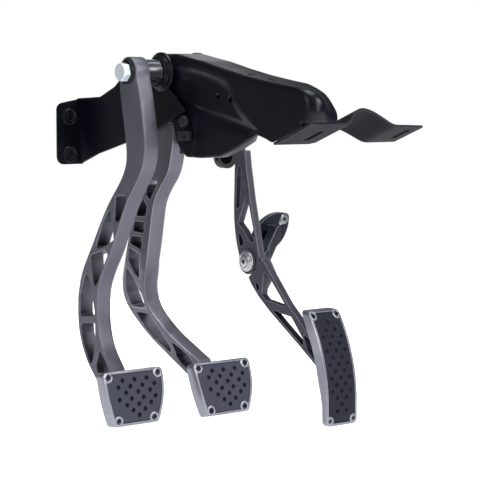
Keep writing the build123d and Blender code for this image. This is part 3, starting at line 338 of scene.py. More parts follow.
# ---------------------------------------------------------------------------
# Pedal bracket: one pressed sheet, with its ridge, crease, lobe and turned lips
# ---------------------------------------------------------------------------
TOP = [(28, 8), (14, 15.5), (2, 20.9), (-22, 20.6), (-50, 15.5), (-72, 11.7), (-108, 3.5), (-143, -3.5),
       (-177, -9), (-205, -13)]
END_L = [(-205, -13), (-222, -15.2), (-238, -17.4), (-249, -20), (-256, -24.5), (-259.8, -31), (-260.8, -40), (-257.8, -52.6)]
END_R = [(-205, -13), (-218, -17.2), (-231, -22.8), (-240, -28.4), (-247.5, -34.5), (-253.5, -40.5), (-254.8, -46.0), (-254.2, -52.6)]
LOW_L = [(30, -56), (-18, -58), (-24, -76), (-31, -87), (-42, -94.5), (-70, -94.8), (-104, -92.5), (-130, -84),
         (-152, -74.5), (-165, -69), (-173, -67.5), (-184, -70), (-196.3, -74.5), (-220, -67.2), (-232, -62.6),
         (-239, -59.6), (-243.8, -57.6)]
LOW_R = [(30, -56), (-18, -56.5), (-60, -57), (-100, -58.5), (-140, -60), (-173, -66), (-184, -70), (-196.3, -73.8),
         (-220, -67.2), (-232, -62.6), (-239, -59.6), (-243.2, -57.9)]
RIDGE = [(20, 4), (-28, 8), (-52, 8.6), (-74, 5.4), (-104, -2.2), (-119, -8), (-129, -17), (-134.5, -29), (-146, -41),
         (-168, -57), (-180, -66)]
CREASE = [(30, -19), (19.3, -20.5), (-9.1, -24.5), (-40.3, -36), (-80.7, -45), (-119.9, -52.5), (-154.6, -60),
          (-179.3, -66)]
POCKET = RIDGE + CREASE[::-1]


def relief(y, z):
    """How far the left wall is pressed in, in millimetres."""
    d = 0.0
    if y > -182:
        zc = at(CREASE, y)
        fade = ease((y + 176) / 26.0)
        if z > zc:
            if inside((y, z), POCKET):
                d = 3.4 * ease(to_line((y, z), RIDGE) / 13.0)
                near = ease(1 - (z - zc) / 5.0)
                d = d * (1 - near) + 4.6 * near * fade
        else:
            under = zc - z
            d = (4.6 - 2.4 * ease((under - 3.5) / 7.0)) * fade
            # a soft upright fold in the lobe
            fold = abs(y - (-58.0 - 0.25 * (z + 70)))
            d += 0.9 * ease(1 - fold / 5.0) * ease(under / 12.0)
    return d


def shell():
    N, NE = 190, 44
    body = resample(TOP, N - NE)
    path = relax(body + resample(END_L, NE)[1:], 5)
    path_r = relax(body + resample(END_R, NE)[1:], 5)
    keys_top = [(28, 8), (0, 20.9), (-12, 20.7), (-22, 20.6), (-36, 18), (-70, 12), (-104, 4.4), (-126, 0),
                (-146, -4), (-160, -6.3), (-169, -7.8), (-178, -9.2), (-190, -10.8), (-216, -14.3), (-246, -19.2),
                (-258, -27), (-257.8, -52.6)]

    def params(line, keys):
        d = [0.0]
        for a, b in zip(line, line[1:]):
            d.append(d[-1] + sqrt((b[0] - a[0]) ** 2 + (b[1] - a[1]) ** 2))
        out = []
        for k in keys:
            i = min(range(len(line)), key=lambda j: (line[j][0] - k[0]) ** 2 + (line[j][1] - k[1]) ** 2)
            out.append(i)
        out[0], out[-1] = 0, len(line) - 1
        return out

    def pair(low, keys, path):
        kt = params(path, keys)
        fine = resample(low, 1200)
        kl = params(fine, low)
        res = []
        seg = 0
        for i in range(N + 1):
            while seg < len(kt) - 2 and i > kt[seg + 1]:
                seg += 1
            f = (i - kt[seg]) / max(1, kt[seg + 1] - kt[seg])
            j = kl[seg] + f * (kl[seg + 1] - kl[seg])
            j0 = int(j)
            j1 = min(j0 + 1, len(fine) - 1)
            g = j - j0
            res.append((fine[j0][0] * (1 - g) + fine[j1][0] * g, fine[j0][1] * (1 - g) + fine[j1][1] * g))
        return relax(res, 2)

    left = pair(LOW_L, keys_top, path)
    right = pair(LOW_R, [(28, 8), (-12, 20.7), (-50, 15.5), (-92, 7), (-130, -1), (-166, -7), (-178, -9.2),
                         (-190, -10.8), (-214, -15.6), (-240, -28.4), (-252, -38.5), (-254.2, -52.6)], path_r)
    XL, XR, LIP = 47.0, 93.0, 1.6
    rows = []

    def inward(line, i):
        a, b = line[max(0, i - 1)], line[min(N, i + 1)]
        t = Vector((b[0] - a[0], b[1] - a[1])).normalized()
        m = Vector((t.y, -t.x))
        return m if m.dot(Vector((-110 - line[i][0], -50 - line[i][1]))) > 0 else -m

    for i in range(N + 1):
        tail = ease((i - (N - NE) - 15) / (NE * 0.45))
        R = 5.0 + 9.0 * tail
        RR = 5.0 + 6.0 * tail
        m, mr = inward(path, i), inward(path_r, i)
        p, pr = Vector(path[i]), Vector(path_r[i])
        # the corners run down to the sloping saddle plate
        g = ease((i - (N - 16)) / 16.0)
        drop, drop_r = Vector((0, -4.6 * g)), Vector((0, -4.7 * g))
        start = p + m * R + drop
        start_r = pr + mr * RR + drop_r
        ql, qr = Vector(left[i]), Vector(right[i])
        row = []
        # lip along the lower edge, turned in under the lobe
        y = ql.x
        w = 0.6 + 9.4 * ease((y + 172) / 22.0) * ease((-30 - y) / 12.0)
        dl = relief(ql.x, ql.y)
        up = (start - ql)
        span = up.length
        up = up / max(span, 1e-6)
        lip = min(LIP * ease((y + 180) / 10.0) + 0.4, span * 0.4)
        row.append((XL + dl + lip + w, ql.x, ql.y))
        row.append((XL + dl + lip + w * 0.5, ql.x, ql.y))
        for k in range(5):
            an = k / 5 * pi / 2
            c = ql + up * (lip - lip * cos(an))
            row.append((XL + dl + lip - lip * sin(an), c.x, c.y))
        lo = ql + up * lip
        M = 58
        for k in range(M + 1):
            q = lo.lerp(start, k / M)
            fade = ease((span - (q - ql).length) / 9.0)
            row.append((XL + relief(q.x, q.y) * fade, q.x, q.y))
        for k in range(1, 7):
            an = k / 6 * pi / 2
            c = p + m * (R - R * sin(an)) + drop * (1 - sin(an))
            row.append((XL + R - R * cos(an), c.x, c.y))
        for k in range(1, 14):
            sag = 0.5 * sin(pi * k / 14)
            c = p.lerp(pr, ease(k / 14)) - m * sag * 0.6
            row.append((XL + R + (XR - XL - R - RR) * k / 14, c.x, c.y))
        for k in range(7):
            an = k / 6 * pi / 2
            c = pr + mr * (RR - RR * cos(an)) + drop_r * (1 - cos(an))
            row.append((XR - RR + RR * sin(an), c.x, c.y))
        for k in range(1, 29):
            q = start_r.lerp(qr, k / 28)
            row.append((XR, q.x, q.y))
        rows.append(row)
    bm = bmesh.new()
    vs = [[bm.verts.new(P(*c)) for c in row] for row in rows]
    first_rim = 8 + 58 + 3
    for i in range(N):
        for j in range(len(rows[0]) - 1):
            # the sheet is open above the pivot, forward of the rim
            if path[i][0] > 1.5 and first_rim < j < first_rim + 22:
                continue
            bm.faces.new((vs[i][j], vs[i][j + 1], vs[i + 1][j + 1], vs[i + 1][j]))
    for v in [v for v in bm.verts if not v.link_faces]:
        bm.verts.remove(v)
    bm.normal_update()
    f = min(bm.faces, key=lambda g: (g.calc_center_median() - P(47, -150, -30)).length)
    if f.normal.x > 0:
        bmesh.ops.reverse_faces(bm, faces=bm.faces)
    me = bpy.data.meshes.new("pedal_bracket_shell")
    bm.to_mesh(me)
    bm.free()
    ob = add_object("pedal_bracket_shell", me, BLACK, "bracket")
    sol = ob.modifiers.new("thickness", "SOLIDIFY")
    sol.thickness = 0.0022
    sol.offset = -1
    sol.use_even_offset = False
    cutters = []

    def cutter(x, y, z, r, axis, length=0.012, stretch=1.0):
        b = bmesh.new()
        bmesh.ops.create_cone(b, cap_ends=True, segments=32, radius1=r / 1000, radius2=r / 1000, depth=length)
        if stretch != 1.0:
            bmesh.ops.scale(b, vec=(1, stretch, 1), verts=b.verts)
        if axis == "X":
            bmesh.ops.rotate(b, matrix=Matrix.Rotation(pi / 2, 3, "Y"), verts=b.verts)
        bmesh.ops.translate(b, vec=P(x, y, z), verts=b.verts)
        cm = bpy.data.meshes.new("cut")
        b.to_mesh(cm)
        b.free()
        co = bpy.data.objects.new("cut", cm)
        bpy.context.scene.collection.objects.link(co)
        cutters.append(co)
        bo = ob.modifiers.new("hole", "BOOLEAN")
        bo.operation = "DIFFERENCE"
        bo.object = co
        bo.solver = "EXACT"

    cutter(50, -99.5, -26.3, 3.3, "X")
    cutter(50, -121.5, -29.2, 4.0, "X")
    cutter(47, 0, 0, 13.6, "X", 0.02)
    cutter(93, 0, 0, 13.6, "X", 0.02)
    cutter(93, -140, -32, 8, "X")
    cutter(93, -190, -38, 7, "X")
    cutter(60.5, -144.6, -4, 2.5, "Z", 0.016, 2.8)
    cutter(60.5, -178.4, -9.5, 2.5, "Z", 0.016, 2.8)
    bpy.context.view_layer.update()
    dg = bpy.context.evaluated_depsgraph_get()
    done = bpy.data.meshes.new_from_object(ob.evaluated_get(dg))
    ob.modifiers.clear()
    ob.data = done
    for co in cutters:
        bpy.data.objects.remove(co, do_unlink=True)
    for p in done.polygons:
        p.use_smooth = True
    es = ob.modifiers.new("edges", "EDGE_SPLIT")
    es.split_angle = radians(38)
    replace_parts(ob, "bracket_left_half", "bracket_right_half")
    return ob


shell()

# ---------------------------------------------------------------------------
# Pads: pitted rubber, its pits painted near-black as painted shade, a bright bead round it and a ring round each screw
# ---------------------------------------------------------------------------
PAD_TOP, PAD_BOT, PAD_H, PAD_R = 40.5, 30.5, 31.5, 150.0
PAD_SCREWS = [(-34.2, 25.4), (34.2, 25.4), (-24.6, -25.4), (24.6, -25.4)]
PAD_PITS = []
for n, v, shift in [(3, 20.5, 0.5), (4, 13.3, 2), (3, 6.5, 3.5), (4, -0.8, 2), (3, -7.8, 3.5), (2, -14.3, 3.5),
                    (1, -20.5, 3.5)]:
    for k in range(n):
        PAD_PITS.append((shift + (k - (n - 1) / 2) * 16.6, v))


def flat_pad(place):
    """Maps a pad's own coordinates (across, up, out) into the row frame."""
    x, y, z, tilt = place
    t = radians(tilt)

    def at_pad(u, v, w):
        w = w - (PAD_R - sqrt(PAD_R ** 2 - v * v))
        return P(x + u, y + v * sin(t) - w * cos(t), z + v * cos(t) + w * sin(t))
    return at_pad


TH_CY, TH_CZ, TH_R = 138.0, -398.0, 190.0
TH_X0, TH_X1, TH_Z0, TH_Z1 = 249.8, 298.2, -423.0, -286.5
TH_XM, TH_ZM = (TH_X0 + TH_X1) / 2, (TH_Z0 + TH_Z1) / 2


def curved_pad(u, v, w):
    z = TH_ZM + v
    if z < TH_CZ:
        return P(TH_XM + u, TH_CY - TH_R - w, z)
    y = -sqrt(TH_R ** 2 - (z - TH_CZ) ** 2)
    return P(TH_XM + u, TH_CY + y * (1 + w / TH_R), z + (z - TH_CZ) * w / TH_R)


def steps(lo, hi, size):
    """Even steps with a few close ones at both ends."""
    n = int((hi - lo - 2) / size)
    mid = [lo + 1 + (hi - lo - 2) * k / n for k in range(n + 1)]
    return [lo, lo + 0.12, lo + 0.35, lo + 0.65] + mid + [hi - 0.65, hi - 0.35, hi - 0.12, hi]


def pad_face(name, where, half, h, screws, screw_r, pits, material, body, node, pit_r=2.55, pit_d=2.0):
    size = 0.5
    vv = steps(-h, h, size)
    cols = steps(-half(0), half(0), size)
    grid, deep = [], []
    for v in vv:
        row, drow = [], []
        for c in cols:
            hw = half(v)
            # keep the fine steps at the edge the same width on every row
            k = half(0) - abs(c)
            u = (hw - k) if k < 1 else (abs(c) - 0) * (hw - 1) / (half(0) - 1)
            u = u if c >= 0 else -u
            d = min(h - abs(v), hw - abs(u))
            for a, b in screws:
                d = min(d, sqrt((u - a) ** 2 + (v - b) ** 2) - screw_r)
            w = 0.5
            if d < 0.9:
                w = 0.5 - 0.9 + sqrt(max(0.0, 0.81 - (0.9 - max(d, 0)) ** 2))
            if d <= 0.02:
                w = -2.6
            depth = 0.0
            for a, b in pits:
                rr = (u - a) ** 2 + (v - b) ** 2
                if rr < pit_r ** 2:
                    depth = pit_d * sqrt(1 - rr / pit_r ** 2)
            row.append((u, v, w - depth))
            drow.append(depth)
        grid.append(row)
        deep.append(drow)
    # the pit faces go into a separate object in near-black: painted shade in the pits
    for part, keep in (("_rubber", False), ("_pits", True)):
        bm = bmesh.new()
        vs = {}

        def vert(i, j):
            if (i, j) not in vs:
                vs[(i, j)] = bm.verts.new(where(*grid[i][j]))
            return vs[(i, j)]

        for i in range(len(vv) - 1):
            for j in range(len(cols) - 1):
                q = ((i, j), (i, j + 1), (i + 1, j + 1), (i + 1, j))
                pit = sum(1 for a, b in q if deep[a][b] > 0) >= 2
                low = all(grid[a][b][2] < -2.5 for a, b in q)
                if pit == keep and not low:
                    bm.faces.new([vert(a, b) for a, b in q])
        bm.normal_update()
        if sum(f.normal.y for f in bm.faces) > 0:
            bmesh.ops.reverse_faces(bm, faces=bm.faces)
        me = bpy.data.meshes.new(name + part)
        bm.to_mesh(me)
        bm.free()
        ob = add_object(name + part, me, RECESS_SHADE if keep else material, body)
        if not keep:
            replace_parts(ob, node)


def tube(bm, pts, r, closed=False, sides=8):
    n = len(pts)
    rings = []
    for i, p in enumerate(pts):
        a = pts[(i - 1) % n] if closed or i else pts[0]
        b = pts[(i + 1) % n] if closed or i < n - 1 else pts[-1]
        t = (b - a).normalized()
        s1 = t.cross(Vector((0, -1, 0.001))).normalized()
        s2 = t.cross(s1)
        rings.append([bm.verts.new(p + (s1 * cos(2 * pi * k / sides) + s2 * sin(2 * pi * k / sides)) * r)
                      for k in range(sides)])
    for i in range(n if closed else n - 1):
        a, b = rings[i], rings[(i + 1) % n]
        for k in range(sides):
            bm.faces.new((a[k], a[(k + 1) % sides], b[(k + 1) % sides], b[k]))
    if not closed:
        bm.faces.new(rings[0][::-1])
        bm.faces.new(rings[-1])


def pad_trim(name, where, half, h, screws, ring, body):
    """Bead along the rubber's edge, in four runs, and a raised ring round each screw."""
    bm = bmesh.new()
    runs = []
    for s in (-1, 1):
        runs.append([(s * half(v), v) for v in [-h + 2 * h * k / 60 for k in range(61)]])
        hw = half(s * h)
        runs.append([(-hw + 2 * hw * k / 60, s * h) for k in range(61)])
    for run in runs:
        pts = [q for q in run if all(sqrt((q[0] - a) ** 2 + (q[1] - b) ** 2) > ring for a, b in screws)]
        tube(bm, [where(u, v, 0.15) for u, v in pts], 0.00055)
    # the curled edge between run and ring
    for a, b in screws:
        profile = [(ring - 2.0, -1.6), (ring - 2.0, 0.1), (ring - 1.75, 0.4), (ring - 0.4, 0.4), (ring, 0.15), (ring + 0.1, -0.4)]
        seg = 40
        rings = []
        for k in range(seg):
            an = 2 * pi * k / seg
            rings.append([bm.verts.new(where(a + r * cos(an), b + r * sin(an), w)) for r, w in profile])
        for k in range(seg):
            x, y = rings[k], rings[(k + 1) % seg]
            for j in range(len(profile) - 1):
                bm.faces.new((x[j], x[j + 1], y[j + 1], y[j]))
    bmesh.ops.recalc_face_normals(bm, faces=bm.faces)
    me = bpy.data.meshes.new(name)
    bm.to_mesh(me)
    bm.free()
    ob = add_object(name, me, RIM, body)
    es = ob.modifiers.new("edges", "EDGE_SPLIT")
    es.split_angle = radians(50)


def half_of(inset):
    t, b, h = PAD_TOP - inset, PAD_BOT - inset * 0.95, PAD_H - inset
    return lambda v: b + (t - b) * (v + h) / (2 * h) + 3.4 * (1 - (v / h) ** 2)


for who, place in (("clutch", (18.8, 14.0, -369.8, 8.0)), ("brake", (128.6, -12.0, -366.0, 14.0))):
    pad_face(who + "_pad", flat_pad(place), half_of(3.6), PAD_H - 3.6, PAD_SCREWS, 6.2, PAD_PITS, PADRUB, who,
             who + "_pad_rubber")
    pad_trim(who + "_pad_trim", flat_pad(place), half_of(2.4), PAD_H - 2.4, PAD_SCREWS, 5.6, who)

TH_SCREWS = [(x - TH_XM, z - TH_ZM) for x, z in ((255.5, -292.2), (292.5, -292.2), (255.5, -416.9), (292.5, -416.9))]
TH_PITS = []
for k in range(14):
    n = 2 if k % 2 else 3
    for j in range(n):
        if not (n == 3 and k in (0, 12) and j != 1):
            TH_PITS.append(((j - (n - 1) / 2) * 14.0, -301.5 - k * 8.0 - TH_ZM))
TH_W, TH_H = (TH_X1 - TH_X0) / 2, (TH_Z1 - TH_Z0) / 2
pad_face("throttle_pad", curved_pad, lambda v: TH_W - 3.5, TH_H - 3.5, TH_SCREWS, 5.7, TH_PITS, THRUB, "throttle",
         "throttle_pad_rubber", 2.4, 1.8)
pad_trim("throttle_pad_trim", curved_pad, lambda v: TH_W - 2.4, TH_H - 2.4, TH_SCREWS, 5.2, "throttle")


# ---------------------------------------------------------------------------
# Turned pieces
# ---------------------------------------------------------------------------
def turned(name, centre, axis, profile, material, body, seg=64, split=35):
    """Lathe a profile of (radius, distance along axis); a radius of 0 closes it."""
    ax = Vector(axis).normalized()
    s1 = ax.cross(Vector((0, 0, 1)) if abs(ax.z) < 0.9 else Vector((1, 0, 0))).normalized()
    s2 = ax.cross(s1)
    c = P(*centre)
    bm = bmesh.new()
    rings = []
    for r, d in profile:
        if r == 0:
            rings.append([bm.verts.new(c + ax * d / 1000)])
        else:
            rings.append([bm.verts.new(c + ax * d / 1000 + (s1 * cos(2 * pi * k / seg) + s2 * sin(2 * pi * k / seg)) * r / 1000)
                          for k in range(seg)])
    for a, b in zip(rings, rings[1:]):
        for k in range(seg):
            l = (k + 1) % seg
            if len(a) == 1:
                bm.faces.new((a[0], b[l], b[k]))
            elif len(b) == 1:
                bm.faces.new((a[k], a[l], b[0]))
            else:
                bm.faces.new((a[k], a[l], b[l], b[k]))
    bmesh.ops.recalc_face_normals(bm, faces=bm.faces)
    me = bpy.data.meshes.new(name)
    bm.to_mesh(me)
    bm.free()
    ob = add_object(name, me, material, body)
    es = ob.modifiers.new("edges", "EDGE_SPLIT")
    es.split_angle = radians(split)
    return ob


# polished head of the throttle pivot bolt, on a dark cup washer
PX0, PY0, PZ0 = 267.0, 124.0, -238.2
turned("throttle_pivot_head", (PX0, PY0, PZ0), (-1, 0, 0),
       [(4.2, 0.0), (13.1, 0.0), (13.3, 0.4), (13.3, 1.3), (12.9, 1.9), (11.2, 3.6), (9.4, 5.1), (8.4, 5.7), (7.9, 5.8), (7.7, 5.4),
        (7.5, 5.4), (7.3, 5.8), (5.6, 6.1), (3.2, 6.3), (2.5, 6.3), (2.3, 6.1), (2.3, 2.6), (0, 2.2)], CHROME, "bracket")
# near-black hex disc on the head: painted shade of the bolt's socket
turned("throttle_pivot_socket", (PX0, PY0, PZ0), (-1, 0, 0), [(2.9, 5.6), (2.9, 6.36), (2.2, 6.36), (0, 6.1)], RECESS_SHADE, "bracket",
       6, 20)
turned("throttle_pivot_groove", (PX0, PY0, PZ0), (-1, 0, 0),
       [(7.2, 5.2), (7.2, 5.72), (7.5, 5.9), (8.0, 5.9), (8.3, 5.7), (8.3, 5.2)], SCREW, "bracket", 64)
turned("throttle_pivot_cup", (PX0 + 0.9, PY0, PZ0), (-1, 0, 0),
       [(4.2, 0.0), (15.6, 0.0), (16.0, 0.3), (16.0, 1.2), (15.5, 1.6), (14.4, 1.5), (13.8, 1.0), (4.2, 1.0)], SCREW, "throttle")
# sleeve beside the clutch arm, and the ribbed boss it runs up to
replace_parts(turned("clutch_sleeve_collar", (19.0, 0, 0), (1, 0, 0),
                   [(11.4, 0.0), (14.0, 0.0), (14.4, 0.4), (14.4, 19.0), (14.1, 19.4), (13.6, 19.4), (13.6, 16.0)],
                   SLEEVE, "clutch", 72), "clutch_sleeve")
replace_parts(turned("bearing_boss_left_ribs", (47.0, 0, 0), (-1, 0, 0),
                   [(22.5, 0.0), (22.5, 2.4), (22.1, 3.0), (20.6, 3.2), (19.6, 3.5), (19.4, 4.0), (19.4, 5.2), (19.0, 5.7),
                    (18.2, 5.9), (17.9, 6.3), (17.9, 7.2), (17.4, 7.8), (16.6, 8.1), (15.0, 8.1), (14.7, 7.7), (14.7, 6.0)],
                   BLACK, "bracket", 72), "bearing_boss_left")
# weld nuts closing the holes of both firewall flanges
for side, hx in (("left", 28.0), ("right", 150.0)):
    for lv, hz in (("upper", -52.4), ("lower", -96.8)):
        turned("weld_nut_%s_%s" % (side, lv), (hx, 164.6, hz), (0, -1, 0),
               [(9.6, 0.0), (9.6, 1.1), (9.1, 1.7), (8.2, 1.7), (7.6, 1.2), (6.4, 0.7), (5.4, 0.9), (4.9, 1.6), (4.6, 1.6),
                (4.3, 1.3), (4.2, 1.0), (0, 0.9)], BLACK, "bracket", 48)


# ---------------------------------------------------------------------------
# Small pressings and fittings
# ---------------------------------------------------------------------------
def slab(name, outline, plane, lo, hi, material, body, edge=0.5):
    """A plate: outline in (Y, Z) for plane X, or in (X, Z) for plane Y, between two depths."""
    bm = bmesh.new()

    def place(q, d):
        return P(d, q[0], q[1]) if plane == "X" else P(q[0], d, q[1])
    a = [bm.verts.new(place(q, lo)) for q in outline]
    b = [bm.verts.new(place(q, hi)) for q in outline]
    bm.faces.new(a)
    bm.faces.new(b[::-1])
    n = len(outline)
    for k in range(n):
        bm.faces.new((a[k], b[k], b[(k + 1) % n], a[(k + 1) % n]))
    bmesh.ops.recalc_face_normals(bm, faces=bm.faces)
    me = bpy.data.meshes.new(name)
    bm.to_mesh(me)
    bm.free()
    ob = add_object(name, me, material, body, smooth=False)
    bv = ob.modifiers.new("bevel", "BEVEL")
    bv.width = edge / 1000.0
    bv.segments = 3
    bv.limit_method = "ANGLE"
    bv.angle_limit = radians(30)
    bv.harden_normals = True
    return ob


def rounded(pts, r, n=6):
    """Polygon with its corners rounded."""
    out = []
    m = len(pts)
    for i in range(m):
        p, a, b = Vector(pts[i]), Vector(pts[i - 1]), Vector(pts[(i + 1) % m])
        ra = min(r, (a - p).length * 0.45, (b - p).length * 0.45)
        s, e = p + (a - p).normalized() * ra, p + (b - p).normalized() * ra
        for k in range(n + 1):
            t = k / n
            q = s.lerp(p, t).lerp(p.lerp(e, t), t)
            out.append((q.x, q.y))
    return out


# stop switch's connector on the lobe: a box with a dark slot (a thin near-black plate, painted shade of the slot), and
# a round clip above it
slab("switch_box", rounded([(-36.5, -65.5), (-38, -76), (-57, -75), (-56, -65)], 2.0), "X", 41.5, 46.9, BOX, "bracket",
     0.8)
slab("switch_box_slot", rounded([(-46.5, -71.0), (-46.5, -73.4), (-52.5, -73.2), (-52.5, -70.8)], 0.4), "X", 41.2, 41.8, RECESS_SHADE,
     "bracket", 0.1)
turned("switch_clip", (47.5, -43, -54.5), (-1, 0, 0),
       [(6.6, 0.0), (6.6, 3.4), (6.0, 4.3), (4.4, 4.9), (3.2, 4.7), (2.9, 4.2), (0, 4.1)], BOX, "bracket", 40)


def rib(name, pts, r, material, body):
    fine = []
    for i in range(len(pts) - 1):
        p0, p1, p2, p3 = pts[max(0, i - 1)], pts[i], pts[i + 1], pts[min(len(pts) - 1, i + 2)]
        for k in range(8):
            t = k / 8
            fine.append(0.5 * ((2 * p1) + (p2 - p0) * t + (2 * p0 - 5 * p1 + 4 * p2 - p3) * t * t
                               + (3 * p1 - p0 - 3 * p2 + p3) * t ** 3))
    fine.append(pts[-1])
    bm = bmesh.new()
    tube(bm, fine, r / 1000.0)
    bmesh.ops.recalc_face_normals(bm, faces=bm.faces)
    me = bpy.data.meshes.new(name)
    bm.to_mesh(me)
    bm.free()
    ob = add_object(name, me, material, body)


# a thin light tube along the mount's raised edge: painted highlight on that edge
RIB_PAINTED_HIGHLIGHT = metal("mount_edge_painted_highlight", (0.075, 0.080, 0.100), (0.10, 0.105, 0.13), 0.40, metallic=0.3, grain=1500.0)
rib("mount_rib", [P(x, 160.9, z) for x, z in ((329.5, -197.2), (340.5, -197.6), (345.6, -200.6), (347.1, -204.8),
                                              (343.4, -213.3), (337.4, -222.5), (334.4, -230.0))], 0.6, RIB_PAINTED_HIGHLIGHT,
    "bracket")
# bright keyhole washer under the screw at each end of the mount
for s in (-1, 1):
    tag = "lower" if s < 0 else "upper"
    ax, az = cos(radians(37)), sin(radians(37))
    cx, cz = 336.0 + s * 28.0 * ax, -207.5 + s * 28.0 * az
    turned("mount_washer_" + tag, (cx, 161.4, cz), (0, -1, 0),
           [(4.6, 0.0), (6.3, 0.0), (6.3, 0.8), (5.9, 1.2), (4.6, 1.2)], STAIN, "bracket", 40)
    turned("mount_washer_tail_" + tag, (cx - s * 7.6 * ax, 161.4, cz - s * 7.6 * az), (0, -1, 0),
           [(2.9, 0.0), (2.9, 0.7), (2.5, 1.1), (0, 1.2)], STAIN, "bracket", 32)
    # near-black hex disc on each screw: painted shade of its socket
    turned("mount_screw_socket_" + tag, (cx, 162.3, cz), (0, -1, 0),
           [(2.5, 0.0), (2.5, 2.3), (2.2, 2.45), (0, 2.45)], RECESS_SHADE, "bracket", 6, 20)


# ---------------------------------------------------------------------------
# Steering column saddle: a smooth sheet with an arch and two slots
# ---------------------------------------------------------------------------
def saddle():
    y0, y1, z0, z1 = -246.0, -196.0, -56.0, -74.5
    top = [(103, 0), (110, 4.2), (119, 13.6), (132.6, 17.6), (146.8, 14.8), (160, 8.4), (172, 1.8), (180, 0)]
    arch = []
    for i in range(len(top) - 1):
        a, b, c, d = (Vector(top[max(0, i - 1)]), Vector(top[i]), Vector(top[i + 1]), Vector(top[min(len(top) - 1, i + 2)]))
        if i == 0:
            a = Vector((97, 0))
        if i == len(top) - 2:
            d = Vector((188, 0))
        for k in range(10):
            t = k / 10
            q = 0.5 * (2 * b + (c - a) * t + (2 * a - 5 * b + 4 * c - d) * t * t + (3 * b - a - 3 * c + d) * t ** 3)
            arch.append((q.x, q.y))
    arch = relax(arch, 4)
    line = [(49.6 + (102 - 49.6) * k / 24, 0.0) for k in range(25)] + arch + [(180 + (220.9 - 180) * k / 24, 0.0) for k in range(25)]
    length = sqrt((y1 - y0) ** 2 + (z1 - z0) ** 2)
    along = ((y0 - y1) / length, (z0 - z1) / length)
    up = (-along[1], along[0]) if along[0] > 0 else (along[1], -along[0])
    n = 28
    bm = bmesh.new()
    grid = []
    for i in range(n + 1):
        row = []
        for x, h in line:
            # the driver's edge runs a little across
            d = 0.1 + (length + 10.4 - 16.0 * (x - 49.5) / 171.5) * i / n
            row.append(bm.verts.new(P(x, y1 + along[0] * d + up[0] * h, z1 + along[1] * d + up[1] * h)))
        grid.append(row)
    for i in range(n):
        for j in range(len(line) - 1):
            bm.faces.new((grid[i][j], grid[i][j + 1], grid[i + 1][j + 1], grid[i + 1][j]))
    bm.normal_update()
    if sum(f.normal.z for f in bm.faces) < 0:
        bmesh.ops.reverse_faces(bm, faces=bm.faces)
    me = bpy.data.meshes.new("column_saddle_sheet")
    bm.to_mesh(me)
    bm.free()
    ob = add_object("column_saddle_sheet", me, SADDLE, "bracket")
    sol = ob.modifiers.new("thickness", "SOLIDIFY")
    sol.thickness = 0.0026
    sol.offset = -1
    cutters = []

    def cut(points, depth, origin, tilt):
        b = bmesh.new()
        lo = [b.verts.new((x / 1000, y / 1000, -depth / 1000)) for x, y in points]
        hi = [b.verts.new((x / 1000, y / 1000, depth / 1000)) for x, y in points]
        b.faces.new(lo[::-1])
        b.faces.new(hi)
        for k in range(len(points)):
            l = (k + 1) % len(points)
            b.faces.new((lo[k], lo[l], hi[l], hi[k]))
        bmesh.ops.recalc_face_normals(b, faces=b.faces)
        bmesh.ops.rotate(b, matrix=Matrix.Rotation(tilt, 3, "X"), verts=b.verts)
        bmesh.ops.translate(b, vec=origin, verts=b.verts)
        cm = bpy.data.meshes.new("cut")
        b.to_mesh(cm)
        b.free()
        co = bpy.data.objects.new("cut", cm)
        bpy.context.scene.collection.objects.link(co)
        cutters.append(co)
        bo = ob.modifiers.new("hole", "BOOLEAN")
        bo.operation = "DIFFERENCE"
        bo.object = co
        bo.solver = "EXACT"

    tilt = atan2(z1 - z0, y1 - y0) if y1 > y0 else atan2(z0 - z1, y0 - y1)
    slot = []
    for k in range(32):
        an = 2 * pi * k / 32
        slot.append((3.7 * cos(an), 3.7 * sin(an) + (11.3 if sin(an) > 0 else -11.3)))
    for x in (83, 206.5):
        cut(slot, 9, P(x, (y0 + y1) / 2, (z0 + z1) / 2), tilt)
    cut([(90, -180), (90, -195.5), (97, -196.5), (103, -201), (106.5, -209), (108, -217), (113, -217), (113, -180)], 40,
        P(0, 0, -70), 0)
    bpy.context.view_layer.update()
    dg = bpy.context.evaluated_depsgraph_get()
    done = bpy.data.meshes.new_from_object(ob.evaluated_get(dg))
    ob.modifiers.clear()
    ob.data = done
    for co in cutters:
        bpy.data.objects.remove(co, do_unlink=True)
    for p in done.polygons:
        p.use_smooth = True
    es = ob.modifiers.new("edges", "EDGE_SPLIT")
    es.split_angle = radians(40)
    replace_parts(ob, "column_saddle")


saddle()

# a near-black disc just inside the grommet's mouth: painted shade filling the hole
turned("grommet_hole_painted_shade", (142.7, 5.6, -97.4), (0, -1, 0), [(8.9, 0.0), (8.9, 0.2), (8.4, 0.32), (6.0, 0.25), (0, 0.2)], HOLE_SHADE, "bracket", 48)


# ---------------------------------------------------------------------------
# Floor, light, camera
# ---------------------------------------------------------------------------
def floor():
    bm = bmesh.new()
    bmesh.ops.create_grid(bm, x_segments=1, y_segments=1, size=1.9)
    me = bpy.data.meshes.new("floor")
    bm.to_mesh(me)
    bm.free()
    ob = bpy.data.objects.new("floor", me)
    bpy.context.scene.collection.objects.link(ob)
    ob.location = (0, 0, box_before[0][2] - 0.09)
    m, nt, bsdf = new_material("floor_pale_painted_glow")
    co = nt.nodes.new("ShaderNodeTexCoord").outputs["Object"]
    nt.links.new(ramp(nt, noise(nt, co, 3.0), (0.88, 0.88, 0.885), (0.90, 0.90, 0.90)), bsdf.inputs["Base Color"])
    # the floor glows white, weakly near its middle beneath the object and fully further out: a painted glow, not a lamp
    length = nt.nodes.new("ShaderNodeVectorMath")
    length.operation = "LENGTH"
    nt.links.new(co, length.inputs[0])
    nt.links.new(spread(nt, length.outputs["Value"], 0.42, 1.0, 0.35, 1.1), bsdf.inputs["Emission Strength"])
    bsdf.inputs["Roughness"].default_value = 0.9
    bsdf.inputs["Emission Color"].default_value = (1, 1, 1, 1)
    me.materials.append(m)


floor()

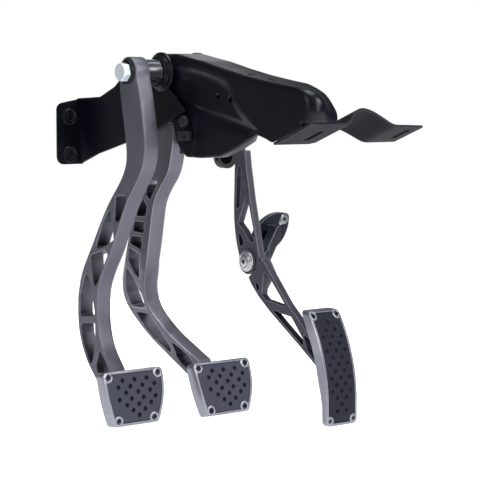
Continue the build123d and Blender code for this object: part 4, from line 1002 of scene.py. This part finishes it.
world = bpy.data.worlds.new("studio")
bpy.context.scene.world = world
world.use_nodes = True
wn = world.node_tree
bg = wn.nodes["Background"]
bg.inputs[0].default_value = (0.97, 0.98, 1.0, 1)
bg.inputs[1].default_value = 0.13
lp = wn.nodes.new("ShaderNodeLightPath")
bg2 = wn.nodes.new("ShaderNodeBackground")
bg2.inputs[0].default_value = (1, 1, 1, 1)
bg2.inputs[1].default_value = 1.0
mx = wn.nodes.new("ShaderNodeMixShader")
wn.links.new(lp.outputs["Is Camera Ray"], mx.inputs[0])
wn.links.new(bg.outputs[0], mx.inputs[1])
wn.links.new(bg2.outputs[0], mx.inputs[2])
wn.links.new(mx.outputs[0], wn.nodes["World Output"].inputs[0])


def area(name, pos, target, size, power, colour=(1, 1, 1)):
    d = bpy.data.lights.new(name, "AREA")
    d.shape = "RECTANGLE"
    d.size, d.size_y = size
    d.energy = power
    d.color = colour
    ob = bpy.data.objects.new(name, d)
    bpy.context.scene.collection.objects.link(ob)
    ob.location = pos
    ob.rotation_euler = (Vector(target) - Vector(pos)).to_track_quat("-Z", "Y").to_euler()
    return ob


MID = (0.03, -0.18, -0.12)
area("key", (0.5, -1.9, 1.0), MID, (1.0, 0.8), 24, (1.0, 0.99, 0.98))
area("front", (0.1, -2.6, 0.3), MID, (0.9, 1.3), 15, (0.97, 0.98, 1.0))
area("top", (0.1, -0.3, 1.7), MID, (1.5, 1.0), 25, (0.90, 0.93, 1.0))
area("left", (-1.9, -0.5, 0.7), MID, (0.8, 1.0), 7.5, (0.94, 0.96, 1.0))
area("rim", (0.9, 1.8, 0.7), MID, (1.3, 0.9), 3.2, (0.92, 0.94, 1.0))
area("back", (0.7, 1.7, -0.2), MID, (1.2, 0.5), 7, (0.98, 0.98, 1.0))

cam_data = bpy.data.cameras.new("camera")
cam_data.sensor_width = 36.0
cam_data.sensor_fit = "HORIZONTAL"
cam_data.lens = 127.5
cam_data.clip_end = 60
cam = bpy.data.objects.new("camera", cam_data)
bpy.context.scene.collection.objects.link(cam)
cam.location = (-1.1591, -1.7407, 0.0566)
cam.rotation_euler = (radians(84.9), 0, radians(-38))
bpy.context.scene.camera = cam
bpy.context.scene.view_settings.view_transform = "Standard"
